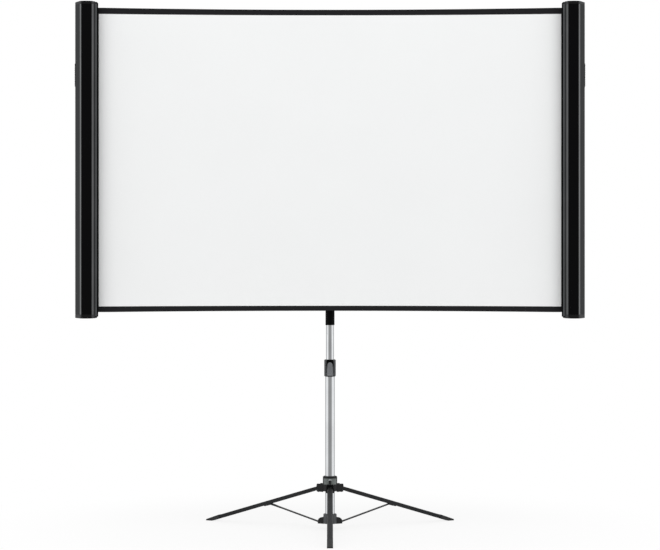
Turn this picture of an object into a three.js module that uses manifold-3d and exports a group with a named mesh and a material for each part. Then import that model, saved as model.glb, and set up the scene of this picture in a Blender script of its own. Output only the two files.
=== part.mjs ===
// Standing pull-out projection screen: a cloth between two roller casings, a scissor frame behind
// it, a telescopic pole and a folding tripod. Millimetres, Z up, the front towards -Y. The origin
// lies on the floor, at the centre of the room that the screen takes up.
import * as THREE from 'three';
import { mergeVertices } from 'three/addons/utils/BufferGeometryUtils.js';
import Module from 'manifold-3d';

const wasm = await Module();
wasm.setup();

// Fits shared by all pieces
const seat = 0.3;
const play = 0.3;
const overrun = 2;
const weldDistance = 0.0001;

// Legs: pressed channels that slope down from the upper hub
const legSlope = THREE.MathUtils.degToRad(16.9);
const legWidth = 20;
const legHeight = 12;
const legWall = 1.5;
const legEdge = 3;
const legRise = 9.1;
const legTail = 7;
const legPivotRadius = 44.5;
const legLugRadius = 7;
const legPinRadius = 3;
const legPinHead = 4.5;
const legPinHeadThick = 1.2;
const legEndGap = 10;
const footSkin = 1.5;
const footReach = 553.6;
const footSoleLength = 31.2;
const footCover = 32;
const footNose = 5;

// Braces between the legs and the lower hub
const kneeAlong = 238.9;
const kneeRise = 9.9;
const kneeLug = 9;
const kneeLugDrop = 3.6;
const braceWidth = 12;
const braceHeight = 5;
const braceSideGap = 0.4;
const braceEye = 3.3;
const braceGrooveWall = 1.5;
const braceGrooveDeep = 2.8;
const braceGrooveEnd = 14;
const rivetRadius = 1.8;

// Upper hub, which slides on the pole
const hubRadius = 27;
const hubSkirtRadius = 23;
const hubSkirt = 9;
const hubDrop = 2.5;
const hubHeight = 57;
const hubEdge = 3;
const clevisWall = 4;
const clevisReach = 57;
const clevisRound = 11;
const clevisBelow = 5.5;
const clevisAbove = 24.5;
const coverThick = 3.7;
const coverHeight = 22.2;
const coverAngle = THREE.MathUtils.degToRad(50);
const buttonWidth = 8;
const buttonHeight = 11.4;
const buttonLift = 2;
const buttonProud = 3.3;
const buttonTravel = 3;
const buttonLength = 9;
const hoodRadius = 5.5;
const hoodThick = 2.5;
const hoodLift = 15;

// Lower hub, the cup that holds the pole's foot
const cupRadius = 25;
const cupFloor = 4;
const cupHeight = 36.5;
const cupEdge = 1.5;
const cupEarWall = 3;
const cupLift = 2;
const cupEarBelow = 5.5;
const cupEarRound = 22;
const cupEarFlat = 3;
const cupEarReach = 50;

// Pole: lower tube, clamp and upper tube
const lowerTubeRadius = 18;
const lowerTubeWall = 1.5;
const lowerTubeLength = 578;
const upperTubeRadius = 15;
const upperTubeWall = 1.5;
const upperTubeShown = 129;
const upperTubeInserted = 442;
const upperTubeSocket = 57;
const guideCollar = 12;
const guideSpigot = 30;
const collarRadius = 21.7;
const collarHeight = 63;
const collarGrip = 31.7;
const collarEdge = 2;
const padHalf = 17;
const padFront = 26;
const padHeight = 58;
const leverTopHalf = 9.5;
const leverFootHalf = 12;
const leverLength = 46;
const leverThick = 5;
const leverKnuckle = 4.3;
const leverPinRadius = 2;
const leverPinRise = 7.5;
const leverPinForward = 5;
const leverEarWall = 4;

// Post behind the cloth, with the top head and the sliding block
const postRadius = 17;
const postWall = 3.3;
const postFrontHalf = 15;
const headDepth = 38;
const headHeight = 40;
const headPivotDrop = 60;
const headSpigot = 20;
const pivotPinRadius = 4;
const pivotPinHead = 6.5;
const pivotPinHeadThick = 1.5;
const sliderSleeve = 20.5;
const sliderHeight = 44;

// Scissor frame: two crossed pairs of flat arms on each side, in a rear and a front layer
const armLength = 1090;
const armWidth = 16;
const armThick = 3;
const armPinRadius = 2.5;
const armPinHead = 4.5;
const armPinHeadThick = 1.2;
const frameStart = 21.5;
const layerGap = 0.5;
const layerStep = 4;
const shoeHalf = 9;
const shoeHeight = 34;

// Casings
const casingWidth = 84;
const casingDepth = 70;
const casingHeight = 1174;
const casingWall = 2;
const casingBack = 32;
const casingInner = 861;
const casingAbovePostFoot = 28;
const casingPivotInset = 41;
const casingPivotRadius = 9;
const capHeight = 13;
const capBevel = 1.5;
const capPlug = 8;
const slotBack = 17;
const slotWidth = 11;
const stripInset = 1.6;
const stripStartShare = 0.255;
const stripEndShare = 0.687;
const railWidth = 5.9;
const railStart = 29;
const railDepth = 31.5;
const railEdge = 2;
const railTopGap = 5;
const railFootGap = 23;
const railFootSlant = 11;
const gripHeight = 86;
const gripAbove = 858;
const gripDepth = 22;
const gripBack = 16;
const gripBase = 1.2;
const gripProud = 2.2;
const gripRibs = 12;
const rollerInset = 44;
const rollerDepth = 36;
const rollerRadius = 11.5;
const rollerPin = 4;
const rollerPinLength = 10;
const clothRollRadius = 13;
const clothRollEnd = 1.2;

// Cloth
const clothThick = 0.6;
const clothEndGap = 1;
const clothTopDip = 7.3;
const clothFootRise = 5;

// Facets
const wideSides = 32;
const midSides = 20;
const pinSides = 12;
const curveSteps = 6;
const clothSteps = 20;

// Corners of a casing's section, seen from above, from the inner back corner round to the inner
// front: shares of the width outwards and of the depth forwards
const casingOutlineShares = [
  [0.083, 0],
  [0.857, 0],
  [0.964, 0.071],
  [1, 0.2],
  [1, 0.557],
  [0.758, 0.957],
  [0.687, 1],
  [0.255, 1],
  [0.141, 0.929],
  [0.141, 0.871],
  [0.083, 0.871],
];

// Places worked out from the sizes above
const slopeSin = Math.sin(legSlope);
const slopeCos = Math.cos(legSlope);
const slopeTan = Math.tan(legSlope);
const footSoleStart = footReach - footSoleLength;
const footLine = (legHeight / 2 + footSkin - legRise) / slopeCos;
const legLength = (footSoleStart - legPivotRadius - slopeSin * legRise - legEndGap) / slopeCos;
const hubPivotZ = slopeTan * (footSoleStart - legPivotRadius) + footLine;
const kneeRadius = legPivotRadius + slopeCos * kneeAlong + slopeSin * kneeRise;
const kneeZ = hubPivotZ - slopeSin * kneeAlong + slopeCos * kneeRise;
const cupPivotZ = 2 * kneeZ - hubPivotZ;
const braceLength = Math.hypot(kneeRadius - legPivotRadius, kneeZ - cupPivotZ);
const braceSlope = Math.atan2(kneeZ - cupPivotZ, kneeRadius - legPivotRadius);
const cupFoot = cupPivotZ - cupEarBelow + cupLift;
const lowerTubeFoot = cupFoot + cupFloor + seat;
const lowerTubeTop = lowerTubeFoot + lowerTubeLength;
const hubFoot = hubPivotZ - hubDrop;
const hubTop = hubFoot + hubHeight;
const clevisTop = hubPivotZ + clevisAbove;
const coverFoot = clevisTop + seat;
const coverTop = coverFoot + coverHeight;
const coverOuter = hubRadius + seat + coverThick;
const buttonFoot = coverFoot + buttonLift;
const collarFoot = lowerTubeTop - collarGrip;
const collarTop = collarFoot + collarHeight;
const upperTubeFoot = collarTop - upperTubeInserted;
const postFoot = collarTop + upperTubeShown;
const upperTubeTop = postFoot + upperTubeSocket;
const casingFoot = postFoot + casingAbovePostFoot;
const casingTop = casingFoot + casingHeight;
const topPivotZ = casingTop - headPivotDrop;
const postTop = topPivotZ - headHeight / 2;
const rearLayer = frameStart + layerGap;
const frontLayer = rearLayer + layerStep;
const frameFront = frontLayer + armThick;
const columnStep = (casingInner + casingPivotInset) / 2;
const armAngle = Math.acos(columnStep / armLength);
const footPivotZ = topPivotZ - armLength * Math.sin(armAngle);
const clothDepth = casingBack + rollerDepth - clothRollRadius - seat - clothThick / 2;
const clothTop = casingTop - capHeight - capPlug - clothEndGap - seat;
const clothFoot = casingFoot + capHeight + capPlug + clothEndGap + seat;
const rollerOffset = casingInner + rollerInset;
const sideFootY = footReach / 2 + (legWidth / 2 + footSkin) * Math.cos(Math.PI / 6);
const poleSetback = (footReach - sideFootY) / 2;

// Materials, with colours read by eye from the photograph
const finish = (color, roughness, metalness) =>
  new THREE.MeshStandardMaterial({ color, roughness, metalness });
const casingGrey = finish(0x414346, 0.42, 0.5);
const glossBlack = finish(0x0c0c0d, 0.12, 0);
const capGrey = finish(0x38393b, 0.5, 0);
const railGrey = finish(0x484a4c, 0.4, 0.3);
const gripBlack = finish(0x1b1b1c, 0.7, 0);
const clothWhite = finish(0xeff1f1, 0.9, 0);
const chrome = finish(0xc9ccce, 0.1, 1);
const blackPlastic = finish(0x161617, 0.5, 0);
const leverGrey = finish(0x6b6d70, 0.4, 0.2);
const legGrey = finish(0x3f4143, 0.45, 0.4);
const coverGrey = finish(0x656a68, 0.5, 0.1);
const armBlack = finish(0x1d1e20, 0.4, 0.6);
const steel = finish(0x9a9c9e, 0.3, 1);
const nylon = finish(0x2b2b2c, 0.6, 0);

// Shape tools

// A geometry with only positions, its equal corners merged and its empty triangles taken out.
function welded(geometry) {
  const bare = geometry.clone();
  bare.deleteAttribute('normal');
  bare.deleteAttribute('uv');
  const merged = mergeVertices(bare, weldDistance);
  const corners = merged.index.array;
  const kept = [];
  for (let i = 0; i < corners.length; i += 3) {
    const [a, b, c] = corners.slice(i, i + 3);
    if (a !== b && b !== c && c !== a) kept.push(a, b, c);
  }
  merged.setIndex(kept);
  return merged;
}

// The solid that a closed geometry bounds.
function solidOf(geometry) {
  const merged = welded(geometry);
  const vertProperties = new Float32Array(merged.attributes.position.array);
  const triVerts = new Uint32Array(merged.index.array);
  return new wasm.Manifold(new wasm.Mesh({ numProp: 3, vertProperties, triVerts }));
}

// The geometry of a solid's surface.
function surfaceOf(solid) {
  const mesh = solid.getMesh();
  const geometry = new THREE.BufferGeometry();
  geometry.setAttribute('position', new THREE.BufferAttribute(mesh.vertProperties, 3));
  geometry.setIndex(new THREE.BufferAttribute(mesh.triVerts, 1));
  geometry.computeVertexNormals();
  return geometry;
}

// One geometry of several that overlap.
function join(...pieces) {
  return surfaceOf(pieces.map(solidOf).reduce((whole, piece) => whole.add(piece)));
}

// A geometry with the tools' shapes cut out of it.
function cut(piece, ...tools) {
  return surfaceOf(tools.map(solidOf).reduce((rest, tool) => rest.subtract(tool), solidOf(piece)));
}

// A box between two limits on each axis.
function block([x0, x1], [y0, y1], [z0, z1]) {
  const box = new THREE.BoxGeometry(x1 - x0, y1 - y0, z1 - z0);
  return box.translate((x0 + x1) / 2, (y0 + y1) / 2, (z0 + z1) / 2);
}

// A round bar along X between two limits.
function barX(radius, [x0, x1], y, z, sides = pinSides) {
  const bar = new THREE.CylinderGeometry(radius, radius, x1 - x0, sides).rotateZ(Math.PI / 2);
  return bar.translate((x0 + x1) / 2, y, z);
}

// A round bar along Y between two limits.
function barY(radius, x, [y0, y1], z, sides = pinSides) {
  const bar = new THREE.CylinderGeometry(radius, radius, y1 - y0, sides);
  return bar.translate(x, (y0 + y1) / 2, z);
}

// A round bar along Z between two limits.
function barZ(radius, x, y, [z0, z1], sides = pinSides) {
  const bar = new THREE.CylinderGeometry(radius, radius, z1 - z0, sides).rotateX(Math.PI / 2);
  return bar.translate(x, y, (z0 + z1) / 2);
}

// A body turned about Z from its [radius, height] profile.
function turned(profile, sides = wideSides) {
  const points = profile.map(([radius, height]) => new THREE.Vector2(radius, height));
  return welded(new THREE.LatheGeometry(points, sides).rotateX(Math.PI / 2));
}

// A tube about Z.
function tube(outer, inner, [z0, z1], sides = wideSides) {
  return turned([[inner, z0], [outer, z0], [outer, z1], [inner, z1], [inner, z0]], sides);
}

// An outline from corners, or a drawn outline as it is.
function outlineOf(points) {
  if (points instanceof THREE.Shape) return points;
  return new THREE.Shape(points.map(([x, y]) => new THREE.Vector2(x, y)));
}

// An outline in X and Y, raised along Z between two limits.
function raised(points, [z0, z1]) {
  const settings = { depth: z1 - z0, bevelEnabled: false, curveSegments: curveSteps };
  return new THREE.ExtrudeGeometry(outlineOf(points), settings).translate(0, 0, z0);
}

// An outline in X and Z, as thick along Y as the two limits say.
function sideways(points, [y0, y1], steps = curveSteps) {
  const settings = { depth: y1 - y0, bevelEnabled: false, curveSegments: steps };
  const body = new THREE.ExtrudeGeometry(outlineOf(points), settings);
  return body.rotateX(Math.PI / 2).translate(0, y1, 0);
}

// A section in Y and Z, drawn out along X between two limits.
function drawnOut(points, [x0, x1]) {
  const settings = { depth: x1 - x0, bevelEnabled: false, curveSegments: curveSteps };
  const body = new THREE.ExtrudeGeometry(outlineOf(points), settings);
  const turn = new THREE.Matrix4().makeBasis(
    new THREE.Vector3(0, 1, 0),
    new THREE.Vector3(0, 0, 1),
    new THREE.Vector3(1, 0, 0),
  );
  return body.applyMatrix4(turn).translate(x0, 0, 0);
}

// The same corners moved inwards by one distance, for an outline that runs clockwise or not.
function inset(points, distance) {
  const turning = Math.sign(THREE.ShapeUtils.area(points.map(([x, y]) => ({ x, y }))));
  const sides = points.map(([x, y], i) => {
    const [nextX, nextY] = points[(i + 1) % points.length];
    const length = Math.hypot(nextX - x, nextY - y);
    const along = [(nextX - x) / length, (nextY - y) / length];
    const inwards = [-along[1] * turning * distance, along[0] * turning * distance];
    return { at: [x + inwards[0], y + inwards[1]], along };
  });
  return sides.map((side, i) => {
    const before = sides[(i + sides.length - 1) % sides.length];
    const cross = before.along[0] * side.along[1] - before.along[1] * side.along[0];
    const gapX = side.at[0] - before.at[0];
    const gapY = side.at[1] - before.at[1];
    const reach = (gapX * side.along[1] - gapY * side.along[0]) / cross;
    return [before.at[0] + reach * before.along[0], before.at[1] + reach * before.along[1]];
  });
}

// A named mesh hung in a group.
function piece(group, name, geometry, material) {
  const mesh = new THREE.Mesh(welded(geometry), material);
  mesh.name = name;
  group.add(mesh);
  return mesh;
}

// A new group inside another, at a place and turned about Z and then about Y.
function groupIn(parent, [x, y, z], aboutZ = 0, aboutY = 0) {
  const group = new THREE.Group();
  group.position.set(x, y, z);
  group.rotation.set(0, aboutY, aboutZ, 'ZYX');
  parent.add(group);
  return group;
}

// The three directions in which legs, ears and braces stand
const spokes = [
  { name: 'front', angle: -Math.PI / 2 },
  { name: 'right', angle: Math.PI / 6 },
  { name: 'left', angle: (5 * Math.PI) / 6 },
];

// Lower hub: a cup with three pairs of ears and their pins.
function lowerHub() {
  const bore = lowerTubeRadius + play;
  const cup = turned([
    [0, cupFoot],
    [cupRadius - cupEdge, cupFoot],
    [cupRadius, cupFoot + cupEdge],
    [cupRadius, cupFoot + cupHeight - cupEdge],
    [cupRadius - cupEdge, cupFoot + cupHeight],
    [bore, cupFoot + cupHeight],
    [bore, cupFoot + cupFloor],
    [0, cupFoot + cupFloor],
  ]);
  const inner = braceWidth / 2 + braceSideGap;
  const outer = inner + cupEarWall;
  const foot = cupPivotZ - cupEarBelow;
  const centre = cupEarReach - cupEarRound;
  const root = cupRadius - (cupRadius - bore) / 2;
  const ear = new THREE.Shape();
  ear.moveTo(root, foot);
  ear.lineTo(cupEarReach, foot);
  ear.lineTo(cupEarReach, foot + cupEarFlat);
  ear.absarc(centre, foot + cupEarFlat, cupEarRound, 0, Math.PI / 2, false);
  ear.lineTo(root, foot + cupEarFlat + cupEarRound);
  const ears = spokes.flatMap(({ angle }) => [
    sideways(ear, [inner, outer]).rotateZ(angle),
    sideways(ear, [-outer, -inner]).rotateZ(angle),
    barY(rivetRadius, legPivotRadius, [-outer, outer], cupPivotZ).rotateZ(angle),
  ]);
  return join(cup, ...ears);
}

// Upper hub: a sleeve with a drawn-in skirt, three clevises and a pocket for the button.
function upperHub() {
  const bore = lowerTubeRadius + play;
  const sleeve = turned([
    [bore, hubFoot],
    [hubSkirtRadius, hubFoot],
    [hubRadius - (hubRadius - hubSkirtRadius) / 3, hubFoot + hubSkirt / 2],
    [hubRadius, hubFoot + hubSkirt],
    [hubRadius, hubTop - hubEdge],
    [hubRadius - hubEdge, hubTop],
    [bore, hubTop],
    [bore, hubFoot],
  ]);
  const inner = legWidth / 2 + play;
  const outer = inner + clevisWall;
  const root = hubRadius - (hubRadius - bore) / 2;
  const foot = hubPivotZ - clevisBelow;
  const side = new THREE.Shape();
  side.moveTo(root, foot);
  side.lineTo(clevisReach - clevisRound, foot);
  side.absarc(clevisReach - clevisRound, foot + clevisRound, clevisRound, -Math.PI / 2, 0, false);
  side.lineTo(clevisReach, clevisTop - clevisRound);
  side.absarc(clevisReach - clevisRound, clevisTop - clevisRound, clevisRound, 0, Math.PI / 2, false);
  side.lineTo(root, clevisTop);
  const sides = spokes.flatMap(({ angle }) => [
    sideways(side, [inner, outer]).rotateZ(angle),
    sideways(side, [-outer, -inner]).rotateZ(angle),
  ]);
  const bores = spokes.map(({ angle }) =>
    barY(legPinRadius + play, legPivotRadius, [-outer - overrun, outer + overrun], hubPivotZ, midSides)
      .rotateZ(angle),
  );
  const pocketHalf = buttonWidth / 2 + play;
  const pocketFloor = hubRadius + seat + coverThick + buttonProud - buttonLength - buttonTravel - seat;
  const pocket = block(
    [-pocketHalf, pocketHalf],
    [-hubRadius - overrun, -pocketFloor],
    [buttonFoot - play, buttonFoot + buttonHeight + play],
  );
  return cut(join(sleeve, ...sides), ...bores, pocket);
}

// Front cover of the upper hub, bent round it, with the button's window.
function hubCover() {
  const middle = -Math.PI / 2;
  const shape = new THREE.Shape();
  shape.absarc(0, 0, coverOuter, middle - coverAngle, middle + coverAngle, false);
  shape.absarc(0, 0, hubRadius + seat, middle + coverAngle, middle - coverAngle, true);
  const windowHalf = buttonWidth / 2 + play;
  const windowTool = block(
    [-windowHalf, windowHalf],
    [-coverOuter - overrun, -hubRadius + overrun],
    [buttonFoot - play, buttonFoot + buttonHeight + play],
  );
  return cut(raised(shape, [coverFoot, coverTop]), windowTool);
}

// Half-round hood above the button.
function buttonHood() {
  const shape = new THREE.Shape();
  shape.absarc(0, coverFoot + hoodLift, hoodRadius, 0, Math.PI, false);
  return sideways(shape, [-coverOuter - seat - hoodThick, -coverOuter - seat]);
}

// Button that frees the upper hub.
function hubButton() {
  const front = -coverOuter - buttonProud;
  return block(
    [-buttonWidth / 2, buttonWidth / 2],
    [front, front + buttonLength],
    [buttonFoot, buttonFoot + buttonHeight],
  );
}

// Headed pin of a leg, along Y at the middle of the clevis.
function legPin() {
  const half = legWidth / 2 + play + clevisWall + seat;
  const profile = [
    [0, -half - legPinHeadThick],
    [legPinHead, -half - legPinHeadThick],
    [legPinHead, -half],
    [legPinRadius, -half],
    [legPinRadius, half],
    [legPinHead, half],
    [legPinHead, half + legPinHeadThick],
    [0, half + legPinHeadThick],
  ];
  return turned(profile, midSides).rotateX(Math.PI / 2);
}

// Leg in its own frame: X down the leg from the hub pin, Z square to it.
function leg() {
  const half = legWidth / 2;
  const foot = legRise - legHeight / 2;
  const top = legRise + legHeight / 2;
  const edgeTurn = legWall * Math.tan(Math.PI / 8);
  const section = [
    [-half, foot],
    [-half, top - legEdge],
    [-half + legEdge, top],
    [half - legEdge, top],
    [half, top - legEdge],
    [half, foot],
    [half - legWall, foot],
    [half - legWall, top - legEdge - edgeTurn],
    [half - legEdge - edgeTurn, top - legWall],
    [-half + legEdge + edgeTurn, top - legWall],
    [-half + legWall, top - legEdge - edgeTurn],
    [-half + legWall, foot],
  ];
  const channel = drawnOut(section, [-legTail, legLength]);
  const lug = new THREE.Shape();
  lug.moveTo(-legLugRadius, foot + legWall);
  lug.lineTo(-legLugRadius, 0);
  lug.absarc(0, 0, legLugRadius, Math.PI, 2 * Math.PI, false);
  lug.lineTo(legLugRadius + legHeight, foot + legWall);
  const kneeLugs = [
    [kneeAlong - kneeLug - legHeight / 2, foot + legWall],
    [kneeAlong - kneeLug, foot - kneeLugDrop],
    [kneeAlong + kneeLug, foot - kneeLugDrop],
    [kneeAlong + kneeLug + legHeight / 2, foot + legWall],
  ];
  const flanges = [[half - legWall, half], [-half, -half + legWall]];
  const body = join(
    channel,
    ...flanges.map((limits) => sideways(lug, limits)),
    ...flanges.map((limits) => sideways(kneeLugs, limits)),
    barY(rivetRadius, kneeAlong, [-half, half], kneeRise),
  );
  return cut(body, barY(legPinRadius + play, 0, [-half - overrun, half + overrun], 0, midSides));
}

// Moulded foot that sleeves the leg's end, with a flat sole, in the frame of its spoke.
function foot() {
  const half = legWidth / 2 + footSkin;
  const middleAt = (radius) => hubPivotZ + legRise / slopeCos - slopeTan * (radius - legPivotRadius);
  const skin = (legHeight / 2 + footSkin) / slopeCos;
  const start = footSoleStart - footCover;
  const side = [
    [start, middleAt(start) - skin],
    [footSoleStart, 0],
    [footReach, 0],
    [footReach, footNose],
    [start, middleAt(start) + skin],
  ];
  const hollow = legWidth / 2 + seat;
  const high = legHeight / 2 + seat;
  const socket = block([0, legLength + seat], [-hollow, hollow], [legRise - high, legRise + high])
    .rotateY(legSlope)
    .translate(legPivotRadius, 0, hubPivotZ);
  return cut(sideways(side, [-half, half]), socket);
}

// Brace in its own frame: X from the lower pin to the knee rivet.
function brace() {
  const half = braceWidth / 2;
  const bar = block([0, braceLength], [-half, half], [-braceHeight / 2, braceHeight / 2]);
  const ends = [0, braceLength];
  const eyes = ends.map((x) => barY(braceEye, x, [-half, half], 0, midSides));
  const bores = ends.map((x) => barY(rivetRadius + play, x, [-half - overrun, half + overrun], 0));
  const groove = block(
    [braceGrooveEnd, braceLength - braceGrooveEnd],
    [-half + braceGrooveWall, half - braceGrooveWall],
    [-braceHeight / 2 - overrun, -braceHeight / 2 + braceGrooveDeep],
  );
  return cut(join(bar, ...eyes), ...bores, groove);
}

// Clamp on top of the lower tube, with an arched front pad and two ears for the lever.
function clampCollar() {
  const bore = lowerTubeRadius + play;
  const body = turned([
    [bore, collarFoot],
    [collarRadius - collarEdge, collarFoot],
    [collarRadius, collarFoot + collarEdge],
    [collarRadius, collarTop - collarEdge],
    [collarRadius - collarEdge, collarTop],
    [bore, collarTop],
    [bore, collarFoot],
  ]);
  const arch = new THREE.Shape();
  arch.moveTo(-padHalf, collarFoot);
  arch.lineTo(padHalf, collarFoot);
  arch.lineTo(padHalf, collarFoot + padHeight - padHalf);
  arch.absarc(0, collarFoot + padHeight - padHalf, padHalf, 0, Math.PI, false);
  const pad = sideways(arch, [-padFront, -bore - play]);
  const pinZ = collarFoot + leverPinRise;
  const pinY = -padFront - leverPinForward;
  const earInner = leverFootHalf + play;
  const earLimits = [[earInner, earInner + leverEarWall], [-earInner - leverEarWall, -earInner]];
  const ears = earLimits.map(([x0, x1]) =>
    join(
      block([x0, x1], [pinY, -bore - play], [collarFoot, pinZ + leverPinRise]),
      barX(leverPinRise, [x0, x1], pinY, pinZ, midSides),
    ),
  );
  const reach = earInner + leverEarWall + overrun;
  const pinBore = barX(leverPinRadius + play, [-reach, reach], pinY, pinZ);
  const clear = barZ(bore, 0, 0, [collarFoot - overrun, collarTop + overrun], wideSides);
  return cut(join(body, pad, ...ears), pinBore, clear);
}

// Lever in its own frame: the pin's axis is the origin, the arched top points up.
function clampLever() {
  const shape = new THREE.Shape();
  const archZ = leverLength - leverTopHalf;
  shape.moveTo(-leverFootHalf, 0);
  shape.lineTo(leverFootHalf, 0);
  shape.lineTo(leverTopHalf, archZ);
  shape.absarc(0, archZ, leverTopHalf, 0, Math.PI, false);
  const plate = sideways(shape, [-leverThick / 2 - play, leverThick / 2 - play]);
  const knuckle = barX(leverKnuckle, [-leverFootHalf, leverFootHalf], 0, 0, midSides);
  const reach = leverFootHalf + overrun;
  return cut(join(plate, knuckle), barX(leverPinRadius + play, [-reach, reach], 0, 0));
}

// Bush in the clamp round the upper tube, on top of the lower tube.
function clampBush() {
  const outer = lowerTubeRadius;
  return tube(outer, upperTubeRadius + play, [lowerTubeTop + seat, collarTop]);
}

// Guide at the upper tube's foot: a spigot in the tube and a collar that runs in the lower tube.
function guideBush() {
  const spigot = upperTubeRadius - upperTubeWall - play;
  const collar = lowerTubeRadius - lowerTubeWall - play;
  const shoulder = upperTubeFoot - seat;
  return turned([
    [0, shoulder - guideCollar],
    [collar, shoulder - guideCollar],
    [collar, shoulder],
    [spigot, shoulder],
    [spigot, shoulder + guideSpigot],
    [0, shoulder + guideSpigot],
  ]);
}

// Post: a tube with a wider socket at its foot for the upper tube.
function supportPost() {
  const socket = upperTubeRadius + play;
  const inner = postRadius - postWall;
  const step = upperTubeTop + seat;
  return turned([
    [socket, postFoot],
    [postRadius, postFoot],
    [postRadius, postTop],
    [inner, postTop],
    [inner, step],
    [socket, step],
    [socket, postFoot],
  ]);
}

// The pin that carries two arms at the middle of the frame, with its head in front of them.
function middlePin(z) {
  return join(
    barY(pivotPinRadius, 0, [-frameFront - seat - pivotPinHeadThick, -postRadius], z, midSides),
    barY(pivotPinHead, 0, [-frameFront - seat - pivotPinHeadThick, -frameFront - seat], z, midSides),
  );
}

// Head in the post's top end, with the pin of the upper arms.
function postHead() {
  const spigot = postRadius - postWall - play;
  return join(
    barZ(spigot, 0, 0, [postTop - headSpigot, postTop + headHeight / 2], wideSides),
    block(
      [-postFrontHalf, postFrontHalf],
      [-frameStart, headDepth - frameStart],
      [postTop + seat, postTop + headHeight],
    ),
    middlePin(topPivotZ),
  );
}

// Block that slides on the post, with the pin of the lower arms.
function postSlider() {
  const bore = postRadius + play;
  const limits = [footPivotZ - sliderHeight / 2, footPivotZ + sliderHeight / 2];
  const sleeve = tube(sliderSleeve, bore, limits);
  const front = block([-postFrontHalf, postFrontHalf], [-frameStart, -bore + play], limits);
  const clear = barZ(bore, 0, 0, [limits[0] - overrun, limits[1] + overrun], wideSides);
  return cut(join(sleeve, front, middlePin(footPivotZ)), clear);
}

// Arm in its own frame: X from the end nearer the post. An arm of the front layer carries the
// rivets, an arm of the rear layer has their holes.
function scissorArm({ front, start, end }) {
  const depth = front ? frontLayer : rearLayer;
  const eye = armWidth / 2;
  const shape = new THREE.Shape();
  shape.absarc(0, 0, eye, Math.PI / 2, (3 * Math.PI) / 2, false);
  shape.absarc(armLength, 0, eye, -Math.PI / 2, Math.PI / 2, false);
  const bar = sideways(shape, [-depth - armThick, -depth]);
  const rivet = (x) => [
    barY(armPinRadius, x, [-frontLayer - armThick / 2, -rearLayer + seat], 0),
    barY(armPinHead, x, [-rearLayer + seat, -rearLayer + seat + armPinHeadThick], 0),
  ];
  const hole = (x, radius) => barY(radius + play, x, [-depth - armThick - overrun, -depth + overrun], 0);
  const links = [armLength / 2];
  if (start === 'link') links.push(0);
  if (end === 'link') links.push(armLength);
  const rivets = front ? links.flatMap(rivet) : [];
  const holes = front ? [] : links.map((x) => hole(x, armPinRadius));
  if (start === 'post') holes.push(hole(0, pivotPinRadius));
  if (end === 'shoe') holes.push(hole(armLength, armPinRadius));
  if (end === 'casing') {
    rivets.push(barY(armPinHead, armLength, [-depth, -depth + armPinHeadThick], 0));
  }
  return cut(join(bar, ...rivets), ...holes);
}

// Shoe between a lower outer arm and the casing's back, with its pin through the arm.
function rearShoe(armDepth) {
  const shoeBack = -armDepth - armThick - seat;
  const shoeFront = -casingBack + seat;
  const shape = new THREE.Shape();
  const straight = shoeHeight / 2 - shoeHalf;
  shape.absarc(0, straight, shoeHalf, 0, Math.PI, false);
  shape.absarc(0, -straight, shoeHalf, Math.PI, 2 * Math.PI, false);
  return join(
    sideways(shape, [shoeFront, shoeBack]),
    barY(armPinRadius, 0, [shoeBack - play, -armDepth + seat], 0),
    barY(armPinHead, 0, [-armDepth + seat, -armDepth + seat + armPinHeadThick], 0),
  );
}

// Corners of the casing's section, outwards to the given side of the pole.
function casingOutline(side) {
  return casingOutlineShares.map(([out, forward]) => [side * out * casingWidth, -forward * casingDepth]);
}

// Limits on X for a stretch that is measured outwards from the casing's inner edge.
function outwards(side, near, far) {
  return side > 0 ? [near, far] : [-far, -near];
}

// Casing profile: open at both ends, with the cloth's slot and a seat for the front strip.
function casingShell(side) {
  const outline = casingOutline(side);
  const limits = [capHeight + seat, casingHeight - capHeight - seat];
  const past = [-overrun, casingHeight + overrun];
  const hollow = raised(inset(outline, casingWall), past);
  const slot = block(outwards(side, 0, rollerInset / 2), [-slotBack - slotWidth, -slotBack], past);
  const stripSeat = block(
    outwards(side, stripStartShare * casingWidth, stripEndShare * casingWidth),
    [-casingDepth - overrun, -casingDepth + stripInset],
    past,
  );
  return cut(raised(outline, limits), hollow, slot, stripSeat);
}

// Glossy strip on the casing's front.
function frontStrip(side) {
  const near = stripStartShare * casingWidth + seat;
  const far = stripEndShare * casingWidth - seat;
  return block(
    outwards(side, near, far),
    [-casingDepth, -casingDepth + stripInset - seat],
    [capHeight + seat, casingHeight - capHeight - seat],
  );
}

// End cap with a soft edge, a plug in the profile and a blind bearing for the roller.
function endCap(side, isTop) {
  const outline = casingOutline(side);
  const settings = {
    depth: capHeight - 2 * capBevel,
    bevelThickness: capBevel,
    bevelSize: capBevel,
    bevelSegments: 2,
  };
  const lid = new THREE.ExtrudeGeometry(outlineOf(inset(outline, capBevel)), settings);
  const base = isTop ? casingHeight - capHeight : 0;
  const plugLimits = isTop ? [base - capPlug, base + capBevel] : [capHeight - capBevel, capHeight + capPlug];
  const plug = raised(inset(outline, casingWall + seat), plugLimits);
  const boreDeep = rollerPinLength + 2 * seat;
  const boreLimits = isTop
    ? [base - capPlug - overrun, base - capPlug + boreDeep]
    : [capHeight + capPlug - boreDeep, capHeight + capPlug + overrun];
  const bore = barZ(rollerPin + play, side * rollerInset, -rollerDepth, boreLimits, midSides);
  return cut(join(lid.translate(0, 0, base + capBevel), plug), bore);
}

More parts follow.
